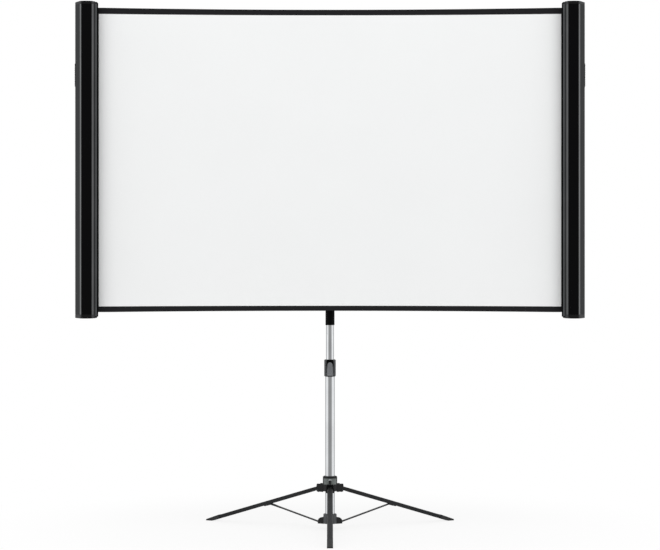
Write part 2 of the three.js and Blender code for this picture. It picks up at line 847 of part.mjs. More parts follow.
// Lip along the cloth's slot, cut off slantwise at its foot.
function innerRail(side) {
  const near = casingOutlineShares[0][0] * casingWidth - seat - railWidth;
  const far = near + railWidth;
  const outline = [
    [far, -railStart],
    [near + railEdge, -railStart],
    [near, -railStart - railEdge],
    [near, -railStart - railDepth + railEdge],
    [near + railEdge, -railStart - railDepth],
    [far, -railStart - railDepth],
  ].map(([x, y]) => [side * x, y]);
  const bar = raised(outline, [railFootGap - railFootSlant, casingHeight - railTopGap]);
  const slant = [
    [near - overrun, railFootGap + overrun * (railFootSlant / railWidth)],
    [far + overrun, railFootGap - railFootSlant - overrun * (railFootSlant / railWidth)],
    [near - overrun, railFootGap - 2 * railFootSlant],
  ].map(([x, z]) => [side * x, z]);
  return cut(bar, sideways(slant, [-casingDepth, 0]));
}

// Ribbed pull grip on the casing's outer side.
function pullGrip(side) {
  const pitch = gripHeight / gripRibs;
  const points = [[0, 0]];
  for (let rib = 0; rib < gripRibs; rib += 1) {
    const foot = rib * pitch;
    points.push([gripBase, foot], [gripProud, foot + pitch / 3], [gripProud, foot + (2 * pitch) / 3]);
  }
  points.push([gripBase, gripHeight], [0, gripHeight]);
  const start = casingWidth + seat;
  const outline = points.map(([x, z]) => [side * (start + x), gripAbove + z]);
  return sideways(outline, [-gripBack - gripDepth, -gripBack]);
}

// Boss on the casing's back at the height of the frame's top pivots.
function casingPivot(side, armDepth) {
  const reach = casingBack - armDepth - armThick - seat;
  return barY(casingPivotRadius, side * casingPivotInset, [seat, reach], topPivotZ - casingFoot, midSides);
}

// Roller with its end pins, about its own axis.
function rollerBar() {
  const foot = capHeight + capPlug + seat;
  const top = casingHeight - foot;
  return turned(
    [
      [0, foot - rollerPinLength],
      [rollerPin, foot - rollerPinLength],
      [rollerPin, foot],
      [rollerRadius, foot],
      [rollerRadius, top],
      [rollerPin, top],
      [rollerPin, top + rollerPinLength],
      [0, top + rollerPinLength],
    ],
    midSides,
  );
}

// The turns of cloth that stay on the roller.
function clothRoll() {
  const foot = capHeight + capPlug + seat + clothRollEnd;
  return tube(clothRollRadius, rollerRadius + play, [foot, casingHeight - foot], midSides);
}

// The stretched cloth, drawn in a little at the middle of its upper and lower edges.
function cloth() {
  const half = rollerOffset;
  const shape = new THREE.Shape();
  shape.moveTo(-half, clothFoot);
  shape.quadraticCurveTo(0, clothFoot + 2 * clothFootRise, half, clothFoot);
  shape.lineTo(half, clothTop);
  shape.quadraticCurveTo(0, clothTop - 2 * clothTopDip, -half, clothTop);
  const limits = [-clothDepth - clothThick / 2, -clothDepth + clothThick / 2];
  return sideways(shape, limits, clothSteps);
}

// The whole screen as a scene graph
const screen = new THREE.Group();
const pole = groupIn(screen, [0, poleSetback, 0]);

const tripod = groupIn(pole, [0, 0, 0]);
piece(
  tripod,
  'lower_pole_tube',
  tube(lowerTubeRadius, lowerTubeRadius - lowerTubeWall, [lowerTubeFoot, lowerTubeTop]),
  chrome,
);
piece(tripod, 'lower_hub', lowerHub(), blackPlastic);
piece(tripod, 'clamp_collar', clampCollar(), legGrey);
piece(tripod, 'clamp_bush', clampBush(), blackPlastic);
const leverPlace = [0, -padFront - leverPinForward, collarFoot + leverPinRise];
const leverGroup = groupIn(tripod, leverPlace);
const leverPinHalf = leverFootHalf + play + leverEarWall;
piece(leverGroup, 'clamp_lever_pin', barX(leverPinRadius, [-leverPinHalf, leverPinHalf], 0, 0), steel);
piece(leverGroup, 'clamp_lever', clampLever(), leverGrey);

const hub = groupIn(pole, [0, 0, 0]);
piece(hub, 'leg_hub', upperHub(), blackPlastic);
piece(hub, 'hub_cover', hubCover(), coverGrey);
piece(hub, 'button_hood', buttonHood(), chrome);
piece(hub, 'leg_lock_button', hubButton(), gripBlack);

for (const { name, angle } of spokes) {
  const spoke = groupIn(pole, [0, 0, 0], angle);
  const pivot = groupIn(spoke, [legPivotRadius, 0, hubPivotZ]);
  piece(pivot, `leg_pin_${name}`, legPin(), steel);
  const slope = groupIn(pivot, [0, 0, 0], 0, legSlope);
  piece(slope, `leg_${name}`, leg(), legGrey);
  piece(spoke, `foot_${name}`, foot(), blackPlastic);
  const braceGroup = groupIn(spoke, [legPivotRadius, 0, cupPivotZ], 0, -braceSlope);
  piece(braceGroup, `brace_${name}`, brace(), legGrey);
}

const mast = groupIn(pole, [0, 0, 0]);
piece(
  mast,
  'upper_pole_tube',
  tube(upperTubeRadius, upperTubeRadius - upperTubeWall, [upperTubeFoot, upperTubeTop]),
  chrome,
);
piece(mast, 'mast_guide_bush', guideBush(), nylon);

const support = groupIn(pole, [0, 0, 0]);
piece(support, 'support_post', supportPost(), blackPlastic);
piece(support, 'post_head', postHead(), blackPlastic);
piece(support, 'post_slider', postSlider(), nylon);
piece(support, 'screen_fabric', cloth(), clothWhite);

// Each side of the frame: the front layer holds the falling arms on the right and the rising
// arms on the left, so that arms which share a pin never share a layer
const sides = [
  { name: 'right', side: 1, fallingInFront: true },
  { name: 'left', side: -1, fallingInFront: false },
];

for (const { name, side, fallingInFront } of sides) {
  const tilt = (angle) => (side > 0 ? angle : Math.PI - angle);
  const arms = [
    { part: 'inner_arm_down', column: 0, falls: true, start: 'post', end: 'link' },
    { part: 'inner_arm_up', column: 0, falls: false, start: 'post', end: 'link' },
    { part: 'outer_arm_down', column: 1, falls: true, start: 'link', end: 'shoe' },
    { part: 'outer_arm_up', column: 1, falls: false, start: 'link', end: 'casing' },
  ];
  for (const { part, column, falls, start, end } of arms) {
    const place = [side * column * columnStep, 0, falls ? topPivotZ : footPivotZ];
    const arm = groupIn(support, place, 0, tilt(falls ? armAngle : -armAngle));
    const front = falls === fallingInFront;
    piece(arm, `${name}_${part}`, scissorArm({ front, start, end }), armBlack);
  }
  const shoeDepth = fallingInFront ? frontLayer : rearLayer;
  const shoe = groupIn(support, [side * 2 * columnStep, 0, footPivotZ]);
  piece(shoe, `${name}_rear_shoe`, rearShoe(shoeDepth), nylon);

  const casing = groupIn(support, [side * casingInner, -casingBack, casingFoot]);
  piece(casing, `${name}_casing_shell`, casingShell(side), casingGrey);
  piece(casing, `${name}_front_strip`, frontStrip(side), glossBlack);
  piece(casing, `${name}_top_cap`, endCap(side, true), capGrey);
  piece(casing, `${name}_bottom_cap`, endCap(side, false), capGrey);
  piece(casing, `${name}_inner_rail`, innerRail(side), railGrey);
  piece(casing, `${name}_pull_grip`, pullGrip(side), gripBlack);
  const bossDepth = fallingInFront ? rearLayer : frontLayer;
  piece(casing, `${name}_casing_pivot`, casingPivot(side, bossDepth), blackPlastic);

  const roller = groupIn(casing, [side * rollerInset, -rollerDepth, 0]);
  piece(roller, `${name}_roller_tube`, rollerBar(), steel);
  piece(roller, `${name}_fabric_roll`, clothRoll(), clothWhite);
}

export default screen;
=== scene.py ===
"""A standing pull-out projection screen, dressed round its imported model.

Each sub-assembly is a class. Its sizes are dataclass fields in metres, in the frame of the
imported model: +Z up, the viewer on -Y, the pole's axis at x = 0. The finishes are frozen
dataclasses that write their own nodes.
"""
import logging
import math
from dataclasses import dataclass, field
from enum import Enum
from typing import Callable, Iterable, Sequence

import bmesh
import bpy
from mathutils import Matrix, Vector


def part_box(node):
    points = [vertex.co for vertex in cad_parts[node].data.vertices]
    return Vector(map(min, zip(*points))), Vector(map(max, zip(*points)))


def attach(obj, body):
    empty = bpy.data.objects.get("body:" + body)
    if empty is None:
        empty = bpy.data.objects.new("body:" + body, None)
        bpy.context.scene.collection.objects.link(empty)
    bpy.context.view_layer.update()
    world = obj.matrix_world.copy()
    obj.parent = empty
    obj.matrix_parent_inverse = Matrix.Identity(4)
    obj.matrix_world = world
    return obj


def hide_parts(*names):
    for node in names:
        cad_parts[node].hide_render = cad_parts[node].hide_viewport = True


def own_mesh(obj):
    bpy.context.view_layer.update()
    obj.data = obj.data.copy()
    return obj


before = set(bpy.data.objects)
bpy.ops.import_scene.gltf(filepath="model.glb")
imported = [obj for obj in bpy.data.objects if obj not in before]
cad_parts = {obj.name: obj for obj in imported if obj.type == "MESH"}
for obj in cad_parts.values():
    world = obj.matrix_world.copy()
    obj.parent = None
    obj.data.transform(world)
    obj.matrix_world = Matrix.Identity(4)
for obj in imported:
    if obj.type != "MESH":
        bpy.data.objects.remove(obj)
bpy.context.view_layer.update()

LOG = logging.getLogger("screen")
Point = tuple[float, float]
Place = tuple[float, float, float]
Colour = tuple[float, float, float]
Change = Callable[[Vector], Vector]
Choice = Callable[[Vector], bool]
Shift = Callable[[float, float], float]

POLE_Y = 0.13342  # the axis of the pole, and of the post behind the cloth
WHITE = (1.0, 1.0, 1.0, 1.0)


def shade(code: int) -> Colour:
    """Linear colour of a six-digit screen colour."""
    parts = [((code >> shift) & 255) / 255 for shift in (16, 8, 0)]
    return tuple(p / 12.92 if p <= 0.04045 else ((p + 0.055) / 1.055) ** 2.4 for p in parts)


def lighter(colour: Colour, factor: float) -> Colour:
    """A colour times a factor, no more than white."""
    return tuple(min(1.0, c * factor) for c in colour)


# --------------------------------------------------------------------------- shader tools


class Value:
    """A number that varies over a surface, with the usual operators."""

    def __init__(self, graph: "Graph", socket: bpy.types.NodeSocket) -> None:
        """Keeps the socket and the graph that it belongs to."""
        self.graph = graph
        self.socket = socket

    def _math(self, operation: str, *values: "Value | float") -> "Value":
        """The result of one Math node.

        Args:
            operation: The node's operation.
            *values: One or two values that it works on, in order.

        Returns:
            The result.
        """
        inputs = dict(zip(("Value", "Value_001"), values))
        node = self.graph.node("ShaderNodeMath", {"operation": operation}, inputs)
        return Value(self.graph, node.outputs[0])

    def __add__(self, other: "Value | float") -> "Value":
        """Sum."""
        return self._math("ADD", self, other)

    __radd__ = __add__

    def __sub__(self, other: "Value | float") -> "Value":
        """Difference."""
        return self._math("SUBTRACT", self, other)

    def __rsub__(self, other: float) -> "Value":
        """Difference, from a number."""
        return self._math("SUBTRACT", other, self)

    def __mul__(self, other: "Value | float") -> "Value":
        """Product."""
        return self._math("MULTIPLY", self, other)

    __rmul__ = __mul__

    def __truediv__(self, other: "Value | float") -> "Value":
        """Quotient."""
        return self._math("DIVIDE", self, other)

    def __rtruediv__(self, other: float) -> "Value":
        """Quotient, of a number."""
        return self._math("DIVIDE", other, self)

    def sine(self) -> "Value":
        """Sine of the value in radians."""
        return self._math("SINE", self)

    def root(self) -> "Value":
        """Square root."""
        return self._math("SQRT", self)

    def over(self, low: float, high: float) -> "Value":
        """0 below low and 1 above high, smooth between.

        Args:
            low: Value at which the mask starts.
            high: Value at which it is full.

        Returns:
            The mask.
        """
        settings = {"interpolation_type": "SMOOTHSTEP"}
        inputs = {"Value": self, "From Min": low, "From Max": high}
        return Value(self.graph, self.graph.node("ShaderNodeMapRange", settings, inputs).outputs[0])


class Graph:
    """The shader nodes of one material, or of the world."""

    def __init__(self, owner: bpy.types.Material | bpy.types.World) -> None:
        """Empties the owner's tree and adds its output.

        Args:
            owner: The material or world.
        """
        owner.use_nodes = True
        self.tree = owner.node_tree
        self.tree.nodes.clear()
        kind = "World" if isinstance(owner, bpy.types.World) else "Material"
        self.output = self.tree.nodes.new(f"ShaderNodeOutput{kind}")

    def feed(self, socket: bpy.types.NodeSocket, value: object) -> None:
        """Links a varying value to a socket, or sets a fixed one on it.

        Args:
            socket: The input socket.
            value: A Value, a socket, a number or a tuple.
        """
        source = value.socket if isinstance(value, Value) else value
        if isinstance(source, bpy.types.NodeSocket):
            self.tree.links.new(source, socket)
        else:
            socket.default_value = source

    def fill_ramp(self, ramp: bpy.types.ColorRamp, tones: Sequence[Point]) -> None:
        """Sets the stops of a ramp of greys.

        Args:
            ramp: The ramp.
            tones: Place and grey of each stop.
        """
        while len(ramp.elements) < len(tones):
            ramp.elements.new(0.5)
        for stop, (place, tone) in zip(ramp.elements, tones):
            stop.position = place
            stop.color = (tone, tone, tone, 1)

    def node(
        self,
        kind: str,
        settings: dict[str, object] | None = None,
        inputs: dict[str, object] | None = None,
    ) -> bpy.types.Node:
        """Adds a node, with its settings made before its sockets are fed.

        Args:
            kind: The node's type.
            settings: Properties of the node, or the stops of a ramp.
            inputs: Values by the identifier of the input socket.

        Returns:
            The new node.
        """
        made = self.tree.nodes.new(kind)
        for key, value in (settings or {}).items():
            if key == "stops":
                self.fill_ramp(made.color_ramp, value)
            else:
                setattr(made, key, value)
        sockets = {socket.identifier: socket for socket in made.inputs}
        for key, value in (inputs or {}).items():
            self.feed(sockets[key], value)
        return made

    def place(self) -> bpy.types.NodeSocket:
        """Object coordinates, in metres."""
        return self.node("ShaderNodeTexCoord").outputs["Object"]

    def thread(self) -> bpy.types.NodeSocket:
        """The piece's own UV map, which cloth stores in metres."""
        return self.node("ShaderNodeTexCoord").outputs["UV"]

    def stretched(
        self, vector: bpy.types.NodeSocket, scale: Place, turn: Place = (0, 0, 0)
    ) -> bpy.types.NodeSocket:
        """Coordinates turned and scaled on each axis.

        Args:
            vector: The coordinates.
            scale: Scale on each axis.
            turn: Rotation in radians.

        Returns:
            The new coordinates.
        """
        inputs = {"Vector": vector, "Rotation": turn, "Scale": scale}
        return self.node("ShaderNodeMapping", {}, inputs).outputs[0]

    def noise(self, vector: bpy.types.NodeSocket, scale: float, detail: float) -> Value:
        """Noise around one half.

        Args:
            vector: Coordinates.
            scale: Features per metre.
            detail: Octaves.

        Returns:
            The noise.
        """
        inputs = {"Vector": vector, "Scale": scale, "Detail": detail}
        return Value(self, self.node("ShaderNodeTexNoise", {}, inputs).outputs[0])

    def cells(self, vector: bpy.types.NodeSocket, scale: float) -> Value:
        """Distance to the nearest of scattered points, of which scale lie in a metre."""
        made = self.node("ShaderNodeTexVoronoi", {}, {"Vector": vector, "Scale": scale})
        return Value(self, made.outputs["Distance"])

    def axes(self, vector: bpy.types.NodeSocket) -> tuple[Value, Value, Value]:
        """The three parts of a vector."""
        made = self.node("ShaderNodeSeparateXYZ", {}, {"Vector": vector})
        return tuple(Value(self, made.outputs[i]) for i in range(3))

    def rays(self, *kinds: str) -> tuple[Value, ...]:
        """For each kind of ray, 1 where the light path is of it."""
        made = self.node("ShaderNodeLightPath")
        return tuple(Value(self, made.outputs[f"Is {kind} Ray"]) for kind in kinds)

    def blend(self, mask: Value, first: Colour, second: Colour) -> bpy.types.NodeSocket:
        """A colour between two, by a mask.

        Args:
            mask: 0 for the first colour, 1 for the second.
            first: Linear colour.
            second: Linear colour.

        Returns:
            The colour.
        """
        inputs = {"Factor_Float": mask, "A_Color": (*first, 1), "B_Color": (*second, 1)}
        made = self.node("ShaderNodeMix", {"data_type": "RGBA"}, inputs)
        return next(s for s in made.outputs if s.identifier == "Result_Color")

    def bump(self, height: Value, depth: float, strength: float) -> bpy.types.NodeSocket:
        """Normals of a relief.

        Args:
            height: The relief, from 0 to 1.
            depth: Its depth in metres.
            strength: Share of the relief that shows.

        Returns:
            The normal.
        """
        inputs = {"Height": height, "Distance": depth, "Strength": strength}
        return self.node("ShaderNodeBump", {}, inputs).outputs[0]

    def mixed(self, mask: Value, first: bpy.types.Node, second: bpy.types.Node) -> bpy.types.Node:
        """One shader where the mask is 0 and another where it is 1.

        Args:
            mask: The mask.
            first: Shader at 0.
            second: Shader at 1.

        Returns:
            The mixing node.
        """
        inputs = {"Fac": mask, "Shader": first.outputs[0], "Shader_001": second.outputs[0]}
        return self.node("ShaderNodeMixShader", {}, inputs)

    def end(self, shader: bpy.types.Node) -> None:
        """Links the last shader to the output."""
        self.tree.links.new(shader.outputs[0], self.output.inputs[0])

    def surface(self, **inputs: object) -> None:
        """Ends the material in one shader, whose sockets have underscores for spaces."""
        named = {key.replace("_", " "): value for key, value in inputs.items()}
        self.end(self.node("ShaderNodeBsdfPrincipled", {}, named))


# --------------------------------------------------------------------------- finishes


class Grain(Enum):
    """The direction in which a drawn or brushed surface has its lines."""

    X = (4, 900, 900)
    Z = (900, 900, 4)


@dataclass(frozen=True)
class Finish:
    """A named finish that writes its nodes once."""

    name: str
    colour: Colour
    roughness: float

    def dress(self, graph: Graph) -> None:
        """Writes the nodes, which each kind of finish has of its own."""
        raise NotImplementedError

    def material(self) -> bpy.types.Material:
        """The finish's material, made on its first use.

        Returns:
            The material.
        """
        known = bpy.data.materials.get(self.name)
        if known is None:
            known = bpy.data.materials.new(self.name)
            self.dress(Graph(known))
        return known


@dataclass(frozen=True)
class CoatedMetal(Finish):
    """Painted or anodised metal: faint draw lines, fine peel and a little unevenness."""

    metallic: float = 0.5
    grain: Grain = Grain.Z
    turn: Place = (0.0, 0.0, 0.0)
    peel: float = 0.00002
    shine: float = 0.5

    def dress(self, graph: Graph) -> None:
        """Writes the nodes.

        Args:
            graph: The material's nodes.
        """
        place = graph.place()
        along = graph.stretched(place, self.grain.value, self.turn)
        lines = graph.noise(along, scale=1.0, detail=3.0)
        clouds = graph.noise(place, scale=9.0, detail=3.0)
        peel = graph.noise(place, scale=1400.0, detail=1.0)
        rubbed = (clouds * 0.6 + lines * 0.4).over(low=0.35, high=0.7)
        graph.surface(
            Base_Color=graph.blend(rubbed, lighter(self.colour, 0.9), lighter(self.colour, 1.12)),
            Metallic=self.metallic,
            Specular_IOR_Level=self.shine,
            Roughness=self.roughness + (lines - 0.5) * 0.16 + (clouds - 0.5) * 0.12,
            Normal=graph.bump(peel * 0.6 + lines * 0.4, depth=self.peel, strength=0.6),
        )


@dataclass(frozen=True)
class MouldedPlastic(Finish):
    """Moulded plastic with a spark-eroded grain and paler rubbed patches."""

    grain_size: float = 0.0006
    grain_depth: float = 0.00003
    shine: float = 0.5

    def dress(self, graph: Graph) -> None:
        """Writes the nodes.

        Args:
            graph: The material's nodes.
        """
        place = graph.place()
        pits = graph.cells(place, scale=1 / self.grain_size)
        fine = graph.noise(place, scale=2.2 / self.grain_size, detail=2.0)
        clouds = graph.noise(place, scale=22.0, detail=3.0)
        rubbed = clouds.over(low=0.35, high=0.75)
        graph.surface(
            Base_Color=graph.blend(rubbed, self.colour, lighter(self.colour, 1.18)),
            Specular_IOR_Level=self.shine,
            Roughness=self.roughness + (clouds - 0.5) * 0.15 + (fine - 0.5) * 0.08,
            Normal=graph.bump(pits * 0.7 + fine * 0.3, depth=self.grain_depth, strength=0.5),
        )


@dataclass(frozen=True)
class GlossPlastic(Finish):
    """Polished black plastic with hairlines, a little dust and a soft waviness."""

    shine: float = 0.1
    wave_depth: float = 0.00012

    def dress(self, graph: Graph) -> None:
        """Writes the nodes.

        Args:
            graph: The material's nodes.
        """
        place = graph.place()
        hair = graph.noise(graph.stretched(place, (1500, 1500, 10)), scale=1.0, detail=2.0)
        waves = graph.noise(graph.stretched(place, (26, 26, 5)), scale=1.0, detail=1.0)
        dust = graph.noise(place, scale=420.0, detail=2.0).over(low=0.66, high=0.78)
        graph.surface(
            Base_Color=graph.blend(dust, self.colour, lighter(self.colour, 1.7)),
            Roughness=self.roughness + hair * 0.05 + dust * 0.12,
            Specular_IOR_Level=self.shine,
            Normal=graph.bump(waves, depth=self.wave_depth, strength=0.35),
        )


@dataclass(frozen=True)
class PolishedSteel(Finish):
    """Bright plated or turned steel with fine lines along one axis."""

    grain: Grain = Grain.Z
    line_depth: float = 0.000004

    def dress(self, graph: Graph) -> None:
        """Writes the nodes.

        Args:
            graph: The material's nodes.
        """
        place = graph.place()
        lines = graph.noise(graph.stretched(place, self.grain.value), scale=1.6, detail=2.0)
        haze = graph.noise(place, scale=14.0, detail=3.0)
        dull = haze.over(low=0.3, high=0.75)
        graph.surface(
            Base_Color=graph.blend(dull, self.colour, lighter(self.colour, 0.9)),
            Metallic=1.0,
            Roughness=self.roughness + (lines - 0.5) * 0.05 + (haze - 0.5) * 0.05,
            Normal=graph.bump(lines, depth=self.line_depth, strength=0.4),
        )


@dataclass(frozen=True)
class WovenCloth(Finish):
    """Coated woven cloth: a plain weave in the UV map's metres under a matt coat."""

    yarn: float = 0.0007
    depth: float = 0.00006
    unevenness: float = 0.02
    shine: float = 0.3

    def dress(self, graph: Graph) -> None:
        """Writes the nodes.

        Args:
            graph: The material's nodes.
        """
        thread = graph.thread()
        across, along, _ = graph.axes(thread)
        turns = 2 * math.pi / (2 * self.yarn)
        weave = (across * turns).sine() * (along * turns).sine() * 0.5 + 0.5
        slub = graph.noise(graph.stretched(thread, (60, 900, 1)), scale=1.0, detail=2.0)
        clouds = graph.noise(thread, scale=3.0, detail=2.0)
        tone = weave * 0.35 + slub * 0.35 + clouds * 0.3
        low = lighter(self.colour, 1 - self.unevenness)
        high = lighter(self.colour, 1 + self.unevenness)
        graph.surface(
            Base_Color=graph.blend(tone.over(low=0.2, high=0.8), low, high),
            Roughness=self.roughness + (slub - 0.5) * 0.08,
            Specular_IOR_Level=self.shine,
            Normal=graph.bump(weave * 0.8 + slub * 0.2, depth=self.depth, strength=0.35),
        )


@dataclass(frozen=True)
class MattRubber(Finish):
    """Moulded rubber, a little dusty where it is rubbed."""

    dust: float = 1.9
    shine: float = 0.5
    pit_depth: float = 0.00003

    def dress(self, graph: Graph) -> None:
        """Writes the nodes.

        Args:
            graph: The material's nodes.
        """
        place = graph.place()
        fine = graph.noise(place, scale=1800.0, detail=2.0)
        dusty = graph.noise(place, scale=60.0, detail=4.0).over(low=0.45, high=0.8)
        graph.surface(
            Base_Color=graph.blend(dusty, self.colour, lighter(self.colour, self.dust)),
            Specular_IOR_Level=self.shine,
            Roughness=self.roughness + (fine - 0.5) * 0.1,
            Normal=graph.bump(fine, depth=self.pit_depth, strength=0.5),
        )


CASING_GREY = CoatedMetal("casing_grey_coat", shade(0x27292B), 0.36, metallic=0.5, shine=0.4)
# Painted highlights: the bevels beside the gloss strip are painted lighter than the coat, where
# light catches them.
CASING_OUTER_HIGHLIGHT = CoatedMetal("casing_outer_edge", shade(0x767778), 0.34, metallic=0.6)
CASING_INNER_HIGHLIGHT = CoatedMetal("casing_inner_edge", shade(0x5C5D5E), 0.34, metallic=0.6)
# Painted light: the recess beside the lip is painted lighter than the coat, to the tone it shows
# lit.
CASING_RECESS_LIGHT = CoatedMetal("casing_recess", shade(0x3A3B3C), 0.36, metallic=0.55)
STRIP_BLACK = GlossPlastic("gloss_black_strip", shade(0x050506), 0.1)
CAP_GREY = MouldedPlastic("cap_grey_moulded", shade(0x2A2B2D), 0.42)
CAP_BAND = MouldedPlastic("cap_band_moulded", shade(0x0D0D0E), 0.42, shine=0.2)
RAIL_GREY = CoatedMetal("rail_grey_coat", shade(0x5A5C5E), 0.34, metallic=0.4)
# Matt black for the lip's ends, and painted shade: the strip on the lip's inner side and the arch
# in the clamp stand where there is only shade.
BLACK_AND_PAINTED_SHADE = MattRubber("seal_black_rubber", shade(0x0A0A0B), 0.9, shine=0.0)
GRIP_BLACK = MouldedPlastic("grip_black_moulded", shade(0x1A1A1B), 0.6, grain_size=0.0009)
CLOTH_WHITE = WovenCloth("cloth_matt_white", shade(0xF5F6F6), 0.92)
CLOTH_BORDER = WovenCloth("cloth_black_border", shade(0x18181A), 0.85, unevenness=0.12)
CLOTH_BACK = WovenCloth("cloth_black_back", shade(0x1B1B1D), 0.88, unevenness=0.12)
CHROME = PolishedSteel("pole_chrome", shade(0xE6E8EA), 0.07)
STEEL = PolishedSteel("pin_steel", shade(0xA6A8AA), 0.22, grain=Grain.X)
DARK_STEEL = PolishedSteel("pin_dark_steel", shade(0x3A3B3D), 0.34, grain=Grain.X)
ROLLER_METAL = PolishedSteel("roller_aluminium", shade(0xC3C5C7), 0.3)
HUB_BLACK = MouldedPlastic("hub_black_moulded", shade(0x101011), 0.4, shine=0.25)
COVER_GREY = MouldedPlastic("cover_grey_moulded", shade(0x656A68), 0.42)
LEVER_GREY = MouldedPlastic("lever_grey_moulded", shade(0x6B6D70), 0.36)
POST_BLACK = CoatedMetal("post_black_coat", shade(0x080808), 0.42, metallic=0.0, shine=0.05)
COLLAR_GREY = MouldedPlastic("collar_grey_moulded", shade(0x3B3D3F), 0.4)
LEG_PAINT = CoatedMetal(
    "leg_grey_paint", shade(0x1C1D1F), 0.38, metallic=0.3, peel=0.00004, shine=0.3
)
NYLON_BLACK = MouldedPlastic("nylon_black", shade(0x232324), 0.5)
FOOT_RUBBER = MattRubber("foot_black_rubber", shade(0x141415), 0.62)
FOOT_PLASTIC = MouldedPlastic("foot_black_moulded", shade(0x1C1D1E), 0.5)


# --------------------------------------------------------------------------- mesh tools

STRAIGHT = math.pi - 0.02  # a corner this open stays as it is
SIDE_SHARE = 0.48  # the most of a side that one rounded corner takes
TINY = 1e-6  # no distance, or no turn
NEAR = 1e-5  # corners this near each other are one
FLAT = math.radians(1)  # faces that meet at less are one
EDGE = math.radians(35)  # faces that meet at more have a rounded edge between them
EVENING = 100  # how fully a flat face's own way holds up to its edges


def unit(angle: float) -> Vector:
    """Unit vector in the floor's plane at an angle."""
    return Vector((math.cos(angle), math.sin(angle), 0))


def filleted(
    points: Sequence[Point], radius: float | Sequence[float], steps: int, closed: bool = True
) -> list[Point]:
    """Rounds the corners of an outline.

    Args:
        points: Corners in order.
        radius: One radius, or one for each corner.
        steps: Faces of a rounded corner.
        closed: Whether the last corner meets the first.

    Returns:
        The rounded outline.
    """
    count = len(points)
    radii = [radius] * count if isinstance(radius, (int, float)) else list(radius)
    rounded: list[Point] = []
    for index, corner in enumerate(points):
        here = Vector((*corner, 0))
        if radii[index] <= 0 or (not closed and index in (0, count - 1)):
            rounded.append(tuple(here.xy))
            continue
        before = Vector((*points[index - 1], 0)) - here
        after = Vector((*points[(index + 1) % count], 0)) - here
        turn = before.angle(after)
        if turn > STRAIGHT:
            rounded.append(tuple(here.xy))
            continue
        shorter = min(before.length, after.length)
        reach = min(radii[index] / math.tan(turn / 2), SIDE_SHARE * shorter)
        start = here + before.normalized() * reach
        end = here + after.normalized() * reach
        for step in range(steps + 1):
            share = step / steps
            point = (1 - share) ** 2 * start + 2 * share * (1 - share) * here + share**2 * end
            rounded.append(tuple(point.xy))
    return rounded


def moved_in(points: Sequence[Point], distance: float) -> list[Point]:
    """An outline with each side moved inwards.

    Args:
        points: Corners of a closed outline.
        distance: How far the sides move; a negative one moves them out.

    Returns:
        The new corners.
    """
    count = len(points)
    corners = zip([points[-1], *points], points)
    area = sum(last[0] * here[1] - here[0] * last[1] for last, here in corners)
    turning = 1 if area > 0 else -1
    sides = []
    for index in range(count):
        start, end = Vector(points[index]), Vector(points[(index + 1) % count])
        along = (end - start).normalized()
        sides.append((start + Vector((-along.y, along.x)) * turning * distance, along))
    inner = []
    for index in range(count):
        (first, before), (second, after) = sides[index - 1], sides[index]
        cross = before.x * after.y - before.y * after.x
        if abs(cross) < TINY:
            inner.append(tuple(second))
            continue
        gap = second - first
        inner.append(tuple(first + before * ((gap.x * after.y - gap.y * after.x) / cross)))
    return inner


def loft(rings: Sequence[Sequence[Place]], closed: bool = False) -> bmesh.types.BMesh:
    """A skin over rings with as many points each.

    Args:
        rings: The rings in order.
        closed: Whether the last ring meets the first. Otherwise both are filled.

    Returns:
        The shape, with its faces outwards.
    """
    shape = bmesh.new()
    rows = [[shape.verts.new(point) for point in ring] for ring in rings]
    count = len(rings[0])
    pairs = list(zip(rows, rows[1:]))
    if closed:
        pairs.append((rows[-1], rows[0]))
    for low, high in pairs:
        for i in range(count):
            j = (i + 1) % count
            shape.faces.new((low[i], low[j], high[j], high[i]))
    if not closed:
        shape.faces.new(list(reversed(rows[0])))
        shape.faces.new(rows[-1])
    bmesh.ops.recalc_face_normals(shape, faces=shape.faces)
    return shape


def raised(
    outline: Sequence[Point],
    levels: Iterable[float],
    to_place: Callable[[float, float, float], Place],
) -> bmesh.types.BMesh:
    """An outline raised through levels.

    Args:
        outline: Points of the closed outline.
        levels: Heights in order.
        to_place: Turns outline and level into a place.

    Returns:
        The shape.
    """
    return loft([[to_place(x, y, level) for x, y in outline] for level in levels])


def turned(
    profile: Sequence[Point], sides: int, centre: Place = (0, 0, 0)
) -> bmesh.types.BMesh:
    """A body turned about a vertical axis.

    Args:
        profile: Closed profile of radius and height.
        sides: Steps round.
        centre: A point of the axis.

    Returns:
        The shape.
    """
    rings = []
    for step in range(sides):
        way = unit(2 * math.pi * step / sides)
        ring = [Vector(centre) + way * max(r, 0) + Vector((0, 0, z)) for r, z in profile]
        rings.append([tuple(corner) for corner in ring])
    shape = loft(rings, closed=True)
    bmesh.ops.remove_doubles(shape, verts=shape.verts, dist=TINY)
    bmesh.ops.dissolve_degenerate(shape, edges=shape.edges, dist=1e-7)
    bmesh.ops.recalc_face_normals(shape, faces=shape.faces)
    return shape


def linked(name: str, data: bpy.types.ID) -> bpy.types.Object:
    """A new object in the scene, at the origin.

    Args:
        name: Its name.
        data: Its mesh, light or camera.

    Returns:
        The object.
    """
    made = bpy.data.objects.new(name, data)
    bpy.context.scene.collection.objects.link(made)
    return made


def to_object(
    name: str, shape: bmesh.types.BMesh, finishes: Sequence[Finish]
) -> bpy.types.Object:
    """Turns a shape into an object at the origin.

    Args:
        name: The piece's name.
        shape: The shape, which is freed.
        finishes: Finishes in the order of the faces' indices.

    Returns:
        The object.
    """
    mesh = bpy.data.meshes.new(name)
    shape.to_mesh(mesh)
    shape.free()
    made = linked(name, mesh)
    for finish in finishes:
        mesh.materials.append(finish.material())
    return made


